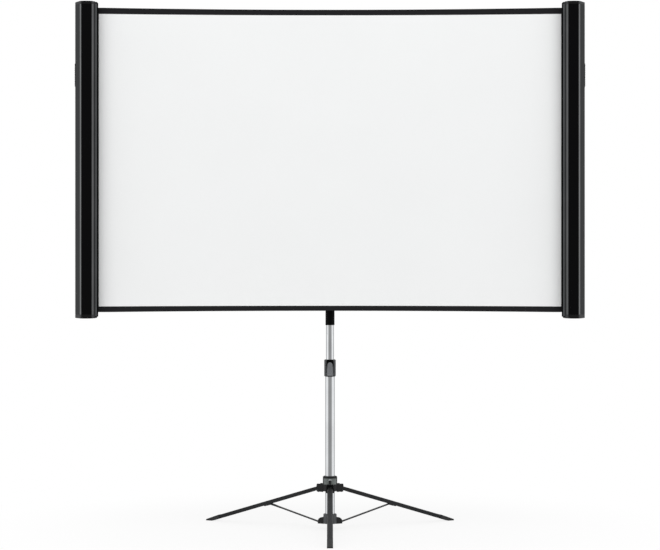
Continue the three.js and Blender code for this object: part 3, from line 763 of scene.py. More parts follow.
def settled(piece: bpy.types.Object) -> bpy.types.Object:
    """Applies the piece's modifiers.

    Args:
        piece: The object.

    Returns:
        The same object with a plain mesh.
    """
    name = piece.data.name
    layers = bpy.context.evaluated_depsgraph_get()
    mesh = bpy.data.meshes.new_from_object(piece.evaluated_get(layers), depsgraph=layers)
    piece.modifiers.clear()
    old = piece.data
    piece.data = mesh
    bpy.data.meshes.remove(old)
    mesh.name = name
    return piece


def rounded_edges(
    piece: bpy.types.Object, width: float, segments: int = 3
) -> bpy.types.Object:
    """Rounds the sharp edges and evens the shading of the flats.

    Args:
        piece: The object.
        width: Width of the rounding in metres.
        segments: Faces of the rounding.

    Returns:
        The same object with a plain mesh.
    """
    piece.data.shade_smooth()
    bevel = piece.modifiers.new("edges", "BEVEL")
    bevel.width = width
    bevel.segments = segments
    bevel.limit_method = "ANGLE"
    bevel.angle_limit = EDGE
    bevel.miter_outer = "MITER_ARC"
    even = piece.modifiers.new("even", "WEIGHTED_NORMAL")
    even.keep_sharp = True
    even.weight = EVENING
    return settled(piece)


def smooth(piece: bpy.types.Object, sharp: float) -> bpy.types.Object:
    """Smooth shading up to an angle.

    Args:
        piece: The object.
        sharp: Angle in degrees from which an edge stays sharp.

    Returns:
        The same object.
    """
    piece.data.shade_smooth()
    piece.data.set_sharp_from_angle(angle=math.radians(sharp))
    return piece


def painted(piece: bpy.types.Object, finish: Finish, chosen: Choice) -> None:
    """Gives a further finish to the faces whose middle is chosen.

    Args:
        piece: The object.
        finish: The further finish.
        chosen: Says of a face's middle whether it takes the finish.
    """
    piece.data.materials.append(finish.material())
    index = len(piece.data.materials) - 1
    for face in piece.data.polygons:
        if chosen(face.center):
            face.material_index = index


def sliced(shape: bmesh.types.BMesh, place: Place, way: Place) -> None:
    """Divides the faces of a shape along a plane.

    Args:
        shape: The shape.
        place: A point of the plane.
        way: The plane's normal.
    """
    parts = [*shape.verts, *shape.edges, *shape.faces]
    bmesh.ops.bisect_plane(shape, geom=parts, dist=TINY, plane_co=place, plane_no=way)


def softened(
    node: str,
    name: str,
    finish: Finish,
    width: float,
    cuts: Sequence[tuple[Place, Place]] = (),
    change: Change | None = None,
) -> bpy.types.Object:
    """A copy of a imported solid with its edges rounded.

    Args:
        node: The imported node.
        name: The new piece's name.
        finish: Its finish.
        width: Width of the rounded edges in metres.
        cuts: Planes that divide its faces, each by a point and a normal.
        change: Moves a corner of the copy.

    Returns:
        The piece.
    """
    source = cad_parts[node].data
    shape = bmesh.new()
    places = [shape.verts.new(v.co) for v in source.vertices]
    for polygon in source.polygons:
        shape.faces.new([places[i] for i in polygon.vertices])
    bmesh.ops.remove_doubles(shape, verts=shape.verts, dist=NEAR)
    bmesh.ops.dissolve_degenerate(shape, edges=shape.edges, dist=NEAR)
    bmesh.ops.dissolve_limit(shape, angle_limit=FLAT, verts=shape.verts, edges=shape.edges)
    for place, way in cuts:
        sliced(shape, place, way)
    if change is not None:
        for corner in shape.verts:
            corner.co = change(corner.co)
    return rounded_edges(to_object(name, shape, [finish]), width)


def joined(name: str, pieces: Sequence[bpy.types.Object]) -> bpy.types.Object:
    """One object of several, each with its own materials kept.

    Args:
        name: The new object's name.
        pieces: Objects at the origin, which are removed.

    Returns:
        The joined object.
    """
    finishes: list[bpy.types.Material] = []
    shape = bmesh.new()
    for piece in pieces:
        first = len(shape.faces)
        shape.from_mesh(piece.data)
        shape.faces.ensure_lookup_table()
        for face in list(shape.faces)[first:]:
            material = piece.data.materials[face.material_index]
            if material not in finishes:
                finishes.append(material)
            face.material_index = finishes.index(material)
        bpy.data.objects.remove(piece)
    mesh = bpy.data.meshes.new(name)
    shape.to_mesh(mesh)
    shape.free()
    for material in finishes:
        mesh.materials.append(material)
    return linked(name, mesh)


def ride(piece: bpy.types.Object, body: str, slot: str, *nodes: str) -> None:
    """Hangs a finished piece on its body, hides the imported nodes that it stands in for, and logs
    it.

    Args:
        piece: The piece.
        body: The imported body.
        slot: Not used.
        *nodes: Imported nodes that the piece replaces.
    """
    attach(piece, body)
    if nodes:
        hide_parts(*nodes)
    LOG.info("%s rides on %s: %d faces", piece.name, body, len(piece.data.polygons))


def dressed(node: str, name: str, finish: Finish, width: float, body: str, slot: str) -> None:
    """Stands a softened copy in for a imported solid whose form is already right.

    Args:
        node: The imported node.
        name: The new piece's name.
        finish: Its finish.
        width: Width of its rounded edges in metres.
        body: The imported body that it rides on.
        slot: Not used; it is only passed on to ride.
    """
    ride(softened(node, name, finish, width), body, slot, node)


# --------------------------------------------------------------------------- repeats


class CopyTree:
    """A geometry tree that sets copies of a shape on points, with inputs of its own."""

    def __init__(self, name: str, inputs: dict[str, str]) -> None:
        """Starts the tree with its named sockets.

        Args:
            name: The tree's name.
            inputs: Kind of each further input socket by its name.
        """
        self.tree = bpy.data.node_groups.new(name, "GeometryNodeTree")
        sockets = self.tree.interface
        for key, kind in {"Points": "Geometry", **inputs}.items():
            sockets.new_socket(key, in_out="INPUT", socket_type=f"NodeSocket{kind}")
        sockets.new_socket("Copies", in_out="OUTPUT", socket_type="NodeSocketGeometry")
        self.start = self.tree.nodes.new("NodeGroupInput")
        self.end = self.tree.nodes.new("NodeGroupOutput")

    def node(
        self, kind: str, links: dict[str, bpy.types.NodeSocket], **settings: object
    ) -> bpy.types.Node:
        """Adds a node, with its settings made before its sockets are linked.

        Args:
            kind: The node's type.
            links: What each input is linked to, by the input's name.
            **settings: Properties of the node.

        Returns:
            The new node.
        """
        made = self.tree.nodes.new(kind)
        for key, value in settings.items():
            setattr(made, key, value)
        for key, source in links.items():
            self.tree.links.new(source, made.inputs[key])
        return made

    def finish(
        self, points: bpy.types.NodeSocket, rotation: bpy.types.NodeSocket | None
    ) -> bpy.types.GeometryNodeTree:
        """Ends the tree: copies on the points, made real, with their material.

        Args:
            points: Where the copies go.
            rotation: How each is turned, if at all.

        Returns:
            The tree.
        """
        given = self.start.outputs
        shape = self.node("GeometryNodeObjectInfo", {"Object": given["Shape"]})
        links = {"Points": points, "Instance": shape.outputs["Geometry"]}
        if rotation is not None:
            links["Rotation"] = rotation
        copies = self.node("GeometryNodeInstanceOnPoints", links)
        real = self.node("GeometryNodeRealizeInstances", {"Geometry": copies.outputs[0]})
        links = {"Geometry": real.outputs[0], "Material": given["Material"]}
        paint = self.node("GeometryNodeSetMaterial", links)
        self.tree.links.new(paint.outputs[0], self.end.inputs[0])
        return self.tree


def row_tree() -> bpy.types.GeometryNodeTree:
    """The tree that sets copies in a straight row.

    Returns:
        The tree, made on its first use.
    """
    known = bpy.data.node_groups.get("copies_in_a_row")
    if known is not None:
        return known
    kinds = {"Shape": "Object", "Count": "Int", "Start": "Vector", "Step": "Vector"}
    maker = CopyTree("copies_in_a_row", {**kinds, "Material": "Material"})
    given = maker.start.outputs
    links = {"Count": given["Count"], "Start Location": given["Start"], "Offset": given["Step"]}
    line = maker.node("GeometryNodeMeshLine", links, mode="OFFSET")
    return maker.finish(line.outputs[0], None)


def spot_tree() -> bpy.types.GeometryNodeTree:
    """The tree that sets copies on the corners of its mesh, turned as an attribute says.

    Returns:
        The tree, made on its first use.
    """
    known = bpy.data.node_groups.get("copies_on_spots")
    if known is not None:
        return known
    maker = CopyTree("copies_on_spots", {"Shape": "Object", "Material": "Material"})
    facing = maker.node("GeometryNodeInputNamedAttribute", {}, data_type="FLOAT_VECTOR")
    facing.inputs["Name"].default_value = "facing"
    return maker.finish(maker.start.outputs["Points"], facing.outputs["Attribute"])


def with_copies(
    piece: bpy.types.Object, tree: bpy.types.GeometryNodeTree, inputs: dict[str, object]
) -> bpy.types.Object:
    """Runs a copying tree on a piece and keeps the result as a plain mesh.

    Args:
        piece: The object whose mesh the tree reads.
        tree: The tree.
        inputs: Values by the inputs' names. The shape to copy is removed afterwards.

    Returns:
        The same object with a plain mesh.
    """
    modifier = piece.modifiers.new("copies", "NODES")
    modifier.node_group = tree
    for item in tree.interface.items_tree:
        if item.item_type == "SOCKET" and item.in_out == "INPUT" and item.name in inputs:
            modifier[item.identifier] = inputs[item.name]
    settled(piece)
    bpy.data.objects.remove(inputs["Shape"])
    return piece


def row_of(
    name: str, shape: bpy.types.Object, count: int, start: Place, step: Place, finish: Finish
) -> bpy.types.Object:
    """Copies of a shape in a row.

    Args:
        name: The piece's name.
        shape: The shape about its own origin, which is removed.
        count: How many.
        start: Place of the first.
        step: From one to the next.
        finish: Their finish.

    Returns:
        The piece.
    """
    inputs = {"Count": count, "Start": start, "Step": step, "Material": finish.material()}
    piece = to_object(name, bmesh.new(), [finish])
    return with_copies(piece, row_tree(), {"Shape": shape, **inputs})


def spots_of(
    name: str, shape: bpy.types.Object, spots: Sequence[tuple[Place, Place]], finish: Finish
) -> bpy.types.Object:
    """Copies of a shape on given spots.

    Args:
        name: The piece's name.
        shape: The shape, which stands along its own +Z and is removed.
        spots: Places and the way that each copy faces.
        finish: Their finish.

    Returns:
        The piece.
    """
    bed = bmesh.new()
    layer = bed.verts.layers.float_vector.new("facing")
    for place, way in spots:
        corner = bed.verts.new(place)
        corner[layer] = Vector(way).to_track_quat("Z", "Y").to_euler()
    piece = to_object(name, bed, [finish])
    return with_copies(piece, spot_tree(), {"Shape": shape, "Material": finish.material()})


def rivet_head(radius: float, height: float) -> bpy.types.Object:
    """A domed rivet head about its own origin.

    Args:
        radius: Its radius.
        height: How far the dome rises.

    Returns:
        The shape to copy.
    """
    steps = 5
    angles = [step * math.pi / (2 * steps) for step in range(steps)]
    dome = [(radius * math.cos(a), height * math.sin(a)) for a in angles]
    profile = [(0, -height / 2), (radius, -height / 2), *dome, (0, height)]
    return smooth(to_object("rivet_shape", turned(profile, 20), []), sharp=50)


def screw_head(radius: float, height: float) -> bpy.types.Object:
    """A flat screw head with a cross recess, about its own origin.

    Args:
        radius: Its radius.
        height: How far it goes down.

    Returns:
        The shape to copy.
    """
    rim = [(radius * 0.9, -height), (radius, 0), (radius * 0.93, height * 0.3)]
    profile = [(0, -height), *rim, (0, height * 0.34)]
    head = to_object("screw_shape", turned(profile, 24), [])
    cutter = bmesh.new()
    size = Matrix.Diagonal((radius * 1.25, radius * 0.26, height * 0.9, 1))
    lift = Matrix.Translation((0, 0, height * 0.45))
    for turn in (0, math.pi / 2):
        made = bmesh.ops.create_cube(cutter, size=1)
        matrix = lift @ Matrix.Rotation(turn, 4, "Z") @ size
        bmesh.ops.transform(cutter, matrix=matrix, verts=made["verts"])
    tool = to_object("screw_recess", cutter, [])
    cut = head.modifiers.new("recess", "BOOLEAN")
    cut.operation = "DIFFERENCE"
    cut.use_self = True
    cut.object = tool
    settled(head)
    bpy.data.objects.remove(tool)
    return smooth(head, sharp=30)


# --------------------------------------------------------------------------- sides and ways


class Side(Enum):
    """A side of the object, with its sign on X."""

    RIGHT = 1
    LEFT = -1

    def of(self, piece: str) -> str:
        """The name of a piece on this side."""
        return f"{self.name.lower()}_{piece}"


class End(Enum):
    """An end of a casing: its way on Z, how much lower its cap lies, and the cap's crown."""

    TOP = (1, 0.0012, 0.0020)
    BOTTOM = (-1, 0.0018, 0.0018)

    def __init__(self, way: int, drop: float, crown: float) -> None:
        """Names the three numbers.

        Args:
            way: Up or down from the casing's middle.
            drop: How far the cap's face lies below the solid's.
            crown: How far it falls back from its middle to its sides.
        """
        self.way = way
        self.drop = drop
        self.crown = crown


class Way(Enum):
    """The direction of a leg about the pole, in degrees."""

    FRONT = -90.0
    RIGHT = 30.0
    LEFT = 150.0

    @property
    def out(self) -> Vector:
        """Unit vector outwards."""
        return unit(math.radians(self.value))

    @property
    def aside(self) -> Vector:
        """Unit vector to the side."""
        return unit(math.radians(self.value) + math.pi / 2)

    def of(self, piece: str) -> str:
        """The name of a piece on this spoke."""
        return f"{piece}_{self.name.lower()}"

    def place(self, radius: float, aside: float, height: float) -> Place:
        """A place at a radius along the spoke, a distance to its side and a height."""
        spot = self.out * radius + self.aside * aside
        return (spot.x, POLE_Y + spot.y, height)

    def parts(self, place: Vector) -> Point:
        """How far a place lies from the pole along the spoke and to its side."""
        spot = place - Vector((0, POLE_Y, 0))
        return (spot.dot(self.out), spot.dot(self.aside))

    def across(
        self, start: Point, slope: float, move: Shift | None = None, spread: Shift | None = None
    ) -> Change:
        """A change square to a sloping line in the spoke's upright plane, and to its side.

        Args:
            start: Radius and height of the line's start.
            slope: Its fall in radians.
            move: Gives the shift from the distances along the line and square to it.
            spread: Gives the sideways shift from the distances along the line and to its side.

        Returns:
            The change.
        """
        line = Vector((math.cos(slope), -math.sin(slope)))
        square = self.out * math.sin(slope) + Vector((0, 0, math.cos(slope)))

        def change(place: Vector) -> Vector:
            """Moves one corner.

            Args:
                place: Where it is.

            Returns:
                Where it goes.
            """
            radius, aside = self.parts(place)
            rel = Vector((radius - start[0], place.z - start[1]))
            run = rel.dot(line)
            rise = rel.x * math.sin(slope) + rel.y * math.cos(slope)
            moved = place + square * (move(run, rise) if move else 0.0)
            return moved + self.aside * (spread(run, aside) if spread else 0.0)

        return change


def drawn_in(start: float, share: float) -> Change:
    """A change that shortens what stands out along the spokes.

    Args:
        start: Radius from which it acts.
        share: Share of the length beyond it that is kept.

    Returns:
        The change.
    """

    def change(place: Vector) -> Vector:
        """Moves one corner.

        Args:
            place: Where it is.

        Returns:
            Where it goes.
        """
        for way in Way:
            beyond = way.parts(place)[0] - start
            if beyond > 0:
                return place - way.out * (beyond * (1 - share))
        return place

    return change


# --------------------------------------------------------------------------- sub-assemblies


@dataclass
class Cloth:
    """The stretched cloth with its printed borders, and the turns left on both rollers."""

    half_width: float = 0.905
    travel: float = 0.8605  # how far each casing comes in when the screen closes
    foot: float = 0.8111
    top: float = 1.9443
    foot_rise: float = 0.0058
    top_dip: float = 0.0087
    border_foot: float = 0.0217
    border_top: float = 0.0234
    border_bows: Point = (0.53, 0.70)  # share of the edges' bow in the borders' inner edges
    limits: Point = (0.8121, 1.9432)
    white_half: float = 0.8592
    thickness: float = 0.0005
    columns: int = 120
    rows: int = 44
    border_rows: int = 4
    middle: float = 1.3777
    half_height: float = 0.565
    ripple_half: float = 0.8
    ripple_height: float = 0.0005
    ripple_turns: Place = (41.0, 3.0, 7.0)
    turns: float = 2.2
    turn_steps: int = 40
    roll_start: float = 0.0118
    roll_end: float = 0.0129

    def edge_heights(self, x: float) -> tuple[float, float, float, float]:
        """Heights of the lower edge, both borders' inner edges and the upper edge.

        Args:
            x: Distance from the middle.

        Returns:
            The four heights, from below.
        """
        slack = 1 - (x / self.half_width) ** 2
        low_bow, high_bow = self.border_bows
        low = max(self.foot + self.foot_rise * slack, self.limits[0])
        high = min(self.top - self.top_dip * slack, self.limits[1])
        low_inner = self.foot + self.border_foot + low_bow * self.foot_rise * slack
        high_inner = self.top - self.border_top - high_bow * self.top_dip * slack
        return low, low_inner, high_inner, high

    def heights(self, x: float) -> list[float]:
        """Heights of the sheet's corners in one column.

        Args:
            x: Distance from the middle.

        Returns:
            The heights, from below.
        """
        low, low_inner, high_inner, high = self.edge_heights(x)
        border = self.border_rows
        heights = [low + (low_inner - low) * i / border for i in range(border)]
        heights += [low_inner + (high_inner - low_inner) * i / self.rows for i in range(self.rows)]
        heights += [high_inner + (high - high_inner) * i / border for i in range(border + 1)]
        return heights

    def ripple(self, x: float, z: float) -> float:
        """How far the cloth waves near its upper and lower edges.

        Args:
            x: Distance from the middle.
            z: Height.

        Returns:
            The shift on Y.
        """
        edge = abs(z - self.middle) / self.half_height
        calm = max(0.0, 1 - (x / self.ripple_half) ** 2)
        fold, sway, slow = self.ripple_turns
        wave = math.sin(fold * x + sway * math.sin(slow * x))
        return self.ripple_height * calm * edge**3 * wave

    def stretched_cloth(self, depth: float) -> bpy.types.Object:
        """The sheet between the rollers.

        Args:
            depth: Its place on Y.

        Returns:
            The sheet.
        """
        shape = bmesh.new()
        thread = shape.loops.layers.uv.new("Thread")
        step = 2 * self.half_width
        places = [-self.half_width + step * i / self.columns for i in range(self.columns + 1)]
        for side in (-self.white_half, self.white_half):
            nearest = min(range(len(places)), key=lambda i: abs(places[i] - side))
            places[nearest] = side
        grid = []
        for x in places:
            corners = [(x, depth + self.ripple(x, z), z) for z in self.heights(x)]
            grid.append([shape.verts.new(corner) for corner in corners])
        last = len(grid[0]) - 1
        for column, (line, after) in enumerate(zip(grid, grid[1:])):
            outside = abs(places[column] + places[column + 1]) > 2 * self.white_half
            for row in range(last):
                face = shape.faces.new((line[row], after[row], after[row + 1], line[row + 1]))
                white = self.border_rows <= row < last - self.border_rows and not outside
                face.material_index = 0 if white else 1
                for loop in face.loops:
                    loop[thread].uv = (loop.vert.co.x, loop.vert.co.z)
        finishes = [CLOTH_WHITE, CLOTH_BORDER, CLOTH_BACK, CLOTH_BACK]
        sheet = to_object("screen_cloth", shape, finishes)
        sheet.data.shade_smooth()
        body = sheet.modifiers.new("thickness", "SOLIDIFY")
        body.thickness = self.thickness
        body.offset = 0
        body.material_offset = 2
        body.use_even_offset = False
        return smooth(settled(sheet), sharp=60)

    def wound_cloth(self, side: Side, axis: Vector) -> bpy.types.Object:
        """The turns of cloth on one roller.

        Args:
            side: Which roller.
            axis: A point of the roller's axis.

        Returns:
            The wound sheet.
        """
        low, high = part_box(side.of("fabric_roll"))
        steps = round(self.turns * self.turn_steps)
        half = self.thickness / 2
        rings = []
        for step in range(steps + 1):
            share = step / steps
            radius = self.roll_start + half + (self.roll_end - self.roll_start - 2 * half) * share
            way = unit(2 * math.pi * self.turns * share * side.value)
            near, far = way * (radius - half), way * (radius + half)
            ring = [(near, low.z), (far, low.z), (far, high.z), (near, high.z)]
            rings.append([(axis.x + p.x, axis.y + p.y, z) for p, z in ring])
        shape = loft(rings)
        thread = shape.loops.layers.uv.new("Thread")
        for face in shape.faces:
            for loop in face.loops:
                around = math.atan2(loop.vert.co.y - axis.y, loop.vert.co.x - axis.x)
                loop[thread].uv = (around * self.roll_end, loop.vert.co.z)
        return smooth(to_object(side.of("wound_cloth"), shape, [CLOTH_WHITE]), sharp=50)

    def build(self) -> None:
        """Makes the sheet and both rolls."""
        low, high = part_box("screen_fabric")
        anchor = (0, (low.y + high.y) / 2, (low.z + high.z) / 2)
        sheet = self.stretched_cloth(anchor[1])
        ride(sheet, "support", "cloth_white", "screen_fabric")
        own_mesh(sheet)
        rollers = [side.of("roller_tube") for side in Side]
        for side in Side:
            foot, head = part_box(side.of("roller_tube"))
            roll = self.wound_cloth(side, (foot + head) / 2)
            ride(roll, side.of("roller"), "cloth_white", side.of("fabric_roll"))
            low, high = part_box(side.of("fabric_roll"))
            side.of("roller_tube")


@dataclass
class Casing:
    """One roller casing: profile, gloss strip, end caps, lip, painted-shade strip, grip, boss and
    roller.

    Its sections are drawn in distances outwards from the cloth's side and forwards from the back.
    """

    side: Side
    width: float = 0.084
    depth: float = 0.070
    wall: float = 0.002
    gap: float = 0.0003
    slot: Point = (0.017, 0.028)
    strip: Point = (0.0193, 0.0577)
    strip_deep: float = 0.0016
    strip_crown: float = 0.0002
    groove_rounding: tuple[float, ...] = (0.0004, 0.0003, 0.0003, 0.0004)
    corners: tuple[Point, ...] = (
        (0.00697, 0.0), (0.07199, 0.0), (0.08098, 0.00497), (0.084, 0.014), (0.084, 0.03899),
        (0.06364, 0.06699), (0.0577, 0.07), (0.0193, 0.07), (0.01187, 0.06503),
        (0.01187, 0.06097), (0.00697, 0.06097),
    )
    rounding: tuple[float, ...] = (
        0.0015, 0.004, 0.004, 0.006, 0.004, 0.0016, 0.0008, 0.0008, 0.0014, 0.0006, 0.0008,
    )
    # Painted light on the profile: highlights on the bevels beside the strip and a lighter recess
    # beside the lip, each by its distances outwards and its least distance forwards.
    painted_light_bands: tuple[tuple[Finish, Point, float], ...] = (
        (CASING_OUTER_HIGHLIGHT, (0.0581, 0.0633), 0.0665),
        (CASING_INNER_HIGHLIGHT, (0.0125, 0.0189), 0.0646),
        (CASING_RECESS_LIGHT, (0.0071, 0.0118), 0.0606),
    )
    cap: float = 0.013
    cap_round: float = 0.0022
    cap_corner: float = 0.0012
    cap_shadow: float = 0.0006
    cap_slices: int = 14
    plug_levels: Point = (0.001, 0.008)
    screws: tuple[Point, ...] = ((0.030, 0.014), (0.060, 0.046))
    screw: Point = (0.0034, 0.0012)
    lip_outs: Point = (0.0011, 0.00667)
    lip_ahead: Point = (0.029, 0.0605)
    lip_foot: Point = (0.001, 0.005)
    lip_head: float = 0.005
    lip_tips: Point = (0.008, 0.011)
    # A black strip of painted shade on the lip's inner side, where the inner wall lies in shadow.
    shade_strip_outs: Point = (0.0001, 0.0004)
    shade_strip_start: float = 0.0236
    shade_strip_short: float = 0.0005
    grip_base: float = 0.0012
    grip_margin: float = 0.003
    rib_margin: float = 0.0015
    ribs: int = 12
    rib: tuple[Point, ...] = (
        (-0.0022, -0.0003), (-0.0014, 0.0008), (0.0, 0.00105), (0.0014, 0.0008), (0.0022, -0.0003),
    )
    pin: float = 0.004
    roller_radius: float = 0.0115
    roller_reach: float = 0.010
    inner: float = field(init=False)
    back: float = field(init=False)
    low: float = field(init=False)
    high: float = field(init=False)

    def __post_init__(self) -> None:
        """Reads the casing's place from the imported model."""
        shell_low, shell_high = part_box(self.side.of("casing_shell"))
        outer = shell_high.x if self.side is Side.RIGHT else -shell_low.x
        self.inner = outer - self.width
        self.back = shell_high.y
        self.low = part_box(self.side.of("bottom_cap"))[0].z
        self.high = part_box(self.side.of("top_cap"))[1].z

    @property
    def body(self) -> str:
        """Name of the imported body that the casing's pieces ride on."""
        return self.side.of("casing")

    @property
    def levels(self) -> Point:
        """Where the profile starts and ends between the caps."""
        return (self.low + self.cap + self.gap, self.high - self.cap - self.gap)

    def at(self, out: float, forward: float, height: float) -> Place:
        """A place from its distances outwards, forwards and up."""
        return (self.side.value * (self.inner + out), self.back - forward, height)

    def beside(self, forward: float, height: float, out: float) -> Place:
        """A place of a form that is drawn on the casing's outer side."""
        return self.at(out, forward, height)

    def spot(self, place: Vector) -> Point:
        """The distances outwards and forwards of a place."""
        return (self.side.value * place.x - self.inner, self.back - place.y)

    def within(self, outs: Point, ahead: float) -> Choice:
        """A choice of places between two distances outwards and ahead of a depth.

        Args:
            outs: The two distances outwards.
            ahead: The least distance forwards.

        Returns:
            The choice.
        """

        def chosen(place: Vector) -> bool:
            """Whether a place is within."""
            out, forward = self.spot(place)
            return outs[0] < out < outs[1] and forward > ahead

        return chosen

    def profile(self) -> None:
        """The extruded profile, open towards the cloth, with painted highlights on its bevels and
        painted light in its recess.
        """
        near, far = self.strip
        floor = self.depth - self.strip_deep
        groove = [(far, self.depth), (far, floor), (near, floor), (near, self.depth)]
        lane = self.corners[0][0]
        before, after = self.corners[:6], self.corners[8:]
        path = [(lane, self.slot[0]), *before, *groove, *after, (lane, self.slot[1])]
        radii = [0.0, *self.rounding[:6], *self.groove_rounding, *self.rounding[8:], 0.0]
        inside = moved_in(self.corners, self.wall)
        lane += self.wall
        lining = [(lane, self.slot[0]), *inside, (lane, self.slot[1])]
        outline = filleted(path, radii, 5, closed=False)
        outline += reversed(filleted(lining, 0.001, 3, closed=False))
        shape = raised(outline, self.levels, self.at)
        made = to_object(self.side.of("casing_profile"), shape, [CASING_GREY])
        # Paints the highlights and the lighter recess into the coat.
        for finish, outs, ahead in self.painted_light_bands:
            painted(made, finish, self.within(outs, ahead))
        ride(smooth(made, sharp=26), self.body, "casing_grey", self.side.of("casing_shell"))

    def front_strip(self) -> None:
        """The polished strip, crowned by a fraction of a millimetre."""
        near, far = self.strip[0] + self.gap, self.strip[1] - self.gap
        middle, half = (near + far) / 2, (far - near) / 2
        floor = self.depth - self.strip_deep + self.gap
        rim = self.depth - self.strip_crown
        steps = 12
        rise = []
        for step in range(1, steps):
            x = far - (far - near) * step / steps
            rise.append((x, rim + self.strip_crown * (1 - ((x - middle) / half) ** 2)))
        path = [(near, floor), (far, floor), (far, rim), *rise, (near, rim)]
        radii = [0.0, 0.0, 0.0004, *[0.0] * len(rise), 0.0004]
        shape = raised(filleted(path, radii, 4), self.levels, self.at)
        made = to_object(self.side.of("gloss_strip"), shape, [STRIP_BLACK])
        ride(smooth(made, sharp=30), self.body, "gloss_black", self.side.of("front_strip"))

    def fall(self, out: float, end: End) -> float:
        """How far a cap's face falls back from its middle, at a distance outwards."""
        return end.crown * (2 * out / self.width - 1) ** 2

    def lid(self, end: End, joint: float, face: float) -> bpy.types.Object:
        """The outer part of an end cap, with a shadow line, a rounded rim and a crowned face.

        Args:
            end: The end that it closes.
            joint: Height at which it meets the profile.
            face: Height of its face.

        Returns:
            The lid.
        """
        outline = filleted(self.corners, [max(r, self.cap_corner) for r in self.rounding], 4)
        shadow = joint + end.way * self.cap_shadow
        turns = [(self.cap_shadow, joint), (self.cap_shadow, shadow), (0.0, shadow)]
        steps = 4
        for step in range(steps + 1):
            angle = step * math.pi / (2 * steps)
            level = face - end.way * self.cap_round * (1 - math.sin(angle))
            turns.append((self.cap_round * (1 - math.cos(angle)), level))
        rings = []
        for inset, level in turns:
            ring = moved_in(outline, inset) if inset > TINY else outline
            rings.append([self.at(x, y, level) for x, y in ring])
        shape = loft(rings)
        for step in range(1, self.cap_slices):
            sliced(shape, self.at(self.width * step / self.cap_slices, 0, 0), (1, 0, 0))
        for corner in shape.verts:
            share = max(0.0, (corner.co.z - joint) / (face - joint))
            corner.co.z -= end.way * share * self.fall(self.spot(corner.co)[0], end)
        made = to_object("lid", shape, [CAP_GREY])
        painted(made, CAP_BAND, self.within(self.strip, self.depth - 0.9 * self.cap_round))
        return smooth(made, sharp=30)

    def end_cap(self, end: End) -> None:
        """An end cap with its plug and two screws.

        Args:
            end: The end that it closes.
        """
        limit = self.high if end is End.TOP else self.low
        joint, face = limit - end.way * self.cap, limit - end.drop
        lid = self.lid(end, joint, face)
        levels = [joint + end.way * self.plug_levels[0], joint - end.way * self.plug_levels[1]]
        outline = moved_in(self.corners, self.wall + self.gap)
        plug = to_object("plug", raised(outline, levels, self.at), [CAP_GREY])
        name = end.name.lower()
        cap = joined(self.side.of(f"{name}_end_cap"), [lid, plug])
        ride(cap, self.body, "cap_grey", self.side.of(f"{name}_cap"))
        spots = []
        for x, y in self.screws:
            height = face + end.way * (0.0001 - self.fall(x, end))
            spots.append((self.at(x, y, height), (0, 0, end.way)))
        name = self.side.of(f"{name}_cap_screws")
        ride(spots_of(name, screw_head(*self.screw), spots, STEEL), self.body, "steel")

    def lip(self) -> None:
        """The lip beside the cloth, with black ends and a foot that is cut at a slant."""
        near, far = self.lip_outs
        start, end = self.lip_ahead
        corners = [(far, start), (near, start), (near, end), (far, end)]
        outline = filleted(corners, [0, 0.0006, 0.0003, 0.0006], 3)
        cut_low, cut_high = (self.low + lift for lift in self.lip_foot)
        foot, head = [], []
        for x, y in outline:
            share = (far - x) / (far - near)
            foot.append(self.at(x, y, cut_low + (cut_high - cut_low) * share))
            head.append(self.at(x, y, self.high - self.lip_head))
        shape = loft([foot, head])
        tips = (self.low + self.lip_tips[0], self.high - self.lip_tips[1])
        for level in tips:
            sliced(shape, self.at(0, 0, level), (0, 0, 1))
        made = to_object(self.side.of("slot_lip"), shape, [RAIL_GREY])
        painted(made, BLACK_AND_PAINTED_SHADE, lambda place: not tips[0] < place.z < tips[1])
        ride(smooth(made, sharp=30), self.body, "rail_grey", self.side.of("inner_rail"))

    def shade_strip(self) -> None:
        """A black strip on the lip's inner side: painted shade where the lip's inner wall lies in
        shadow.
        """
        inside, corner = self.shade_strip_outs
        base, end = self.lip_outs[0] - inside, self.lip_ahead[1]
        edge = [
            (base, self.shade_strip_start), (inside, self.shade_strip_start), (inside, end),
            (corner, end + 0.0003), (base, end + 0.0003),
        ]
        foot = self.low + self.lip_foot[1] + self.shade_strip_short
        levels = (foot, self.high - self.lip_head - self.shade_strip_short)
        shape = raised(filleted(edge, 0.0003, 3), levels, self.at)
        # Painted shade: a black strip where the lip's inner wall lies in shadow.
        made = to_object(self.side.of("slot_seal"), shape, [BLACK_AND_PAINTED_SHADE])
        ride(smooth(made, sharp=40), self.body, "grip_black")

    def grip(self) -> None:
        """The ribbed grip: a plate with copies of one rib."""
        low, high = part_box(self.side.of("pull_grip"))
        near, far = self.back - high.y, self.back - low.y
        plate = [(near, low.z), (far, low.z), (far, high.z), (near, high.z)]
        start = self.width + self.gap
        levels = (start, start + self.grip_base)
        shape = raised(filleted(plate, 0.004, 5), levels, self.beside)
        body = rounded_edges(to_object("grip_plate", shape, [GRIP_BLACK]), 0.0003, 2)
        half = (far - near) / 2 - self.rib_margin
        rings = []
        for end, shrink in ((-half, 0.3), (0.001 - half, 1.0), (half - 0.001, 1.0), (half, 0.3)):
            ring = [(self.side.value * out * shrink, end, z * shrink) for z, out in self.rib]
            rings.append(ring)
        rib = smooth(to_object("rib_shape", loft(rings), []), sharp=50)
        pitch = (high.z - low.z - 2 * self.grip_margin) / self.ribs
        height = low.z + self.grip_margin + pitch / 2
        first = self.at(levels[1] - 0.0001, (near + far) / 2, height)
        ribs = row_of("grip_ribs", rib, self.ribs, first, (0, 0, pitch), GRIP_BLACK)
        made = joined(self.side.of("ribbed_grip"), [body, ribs])
        ride(made, self.body, "grip_black", self.side.of("pull_grip"))

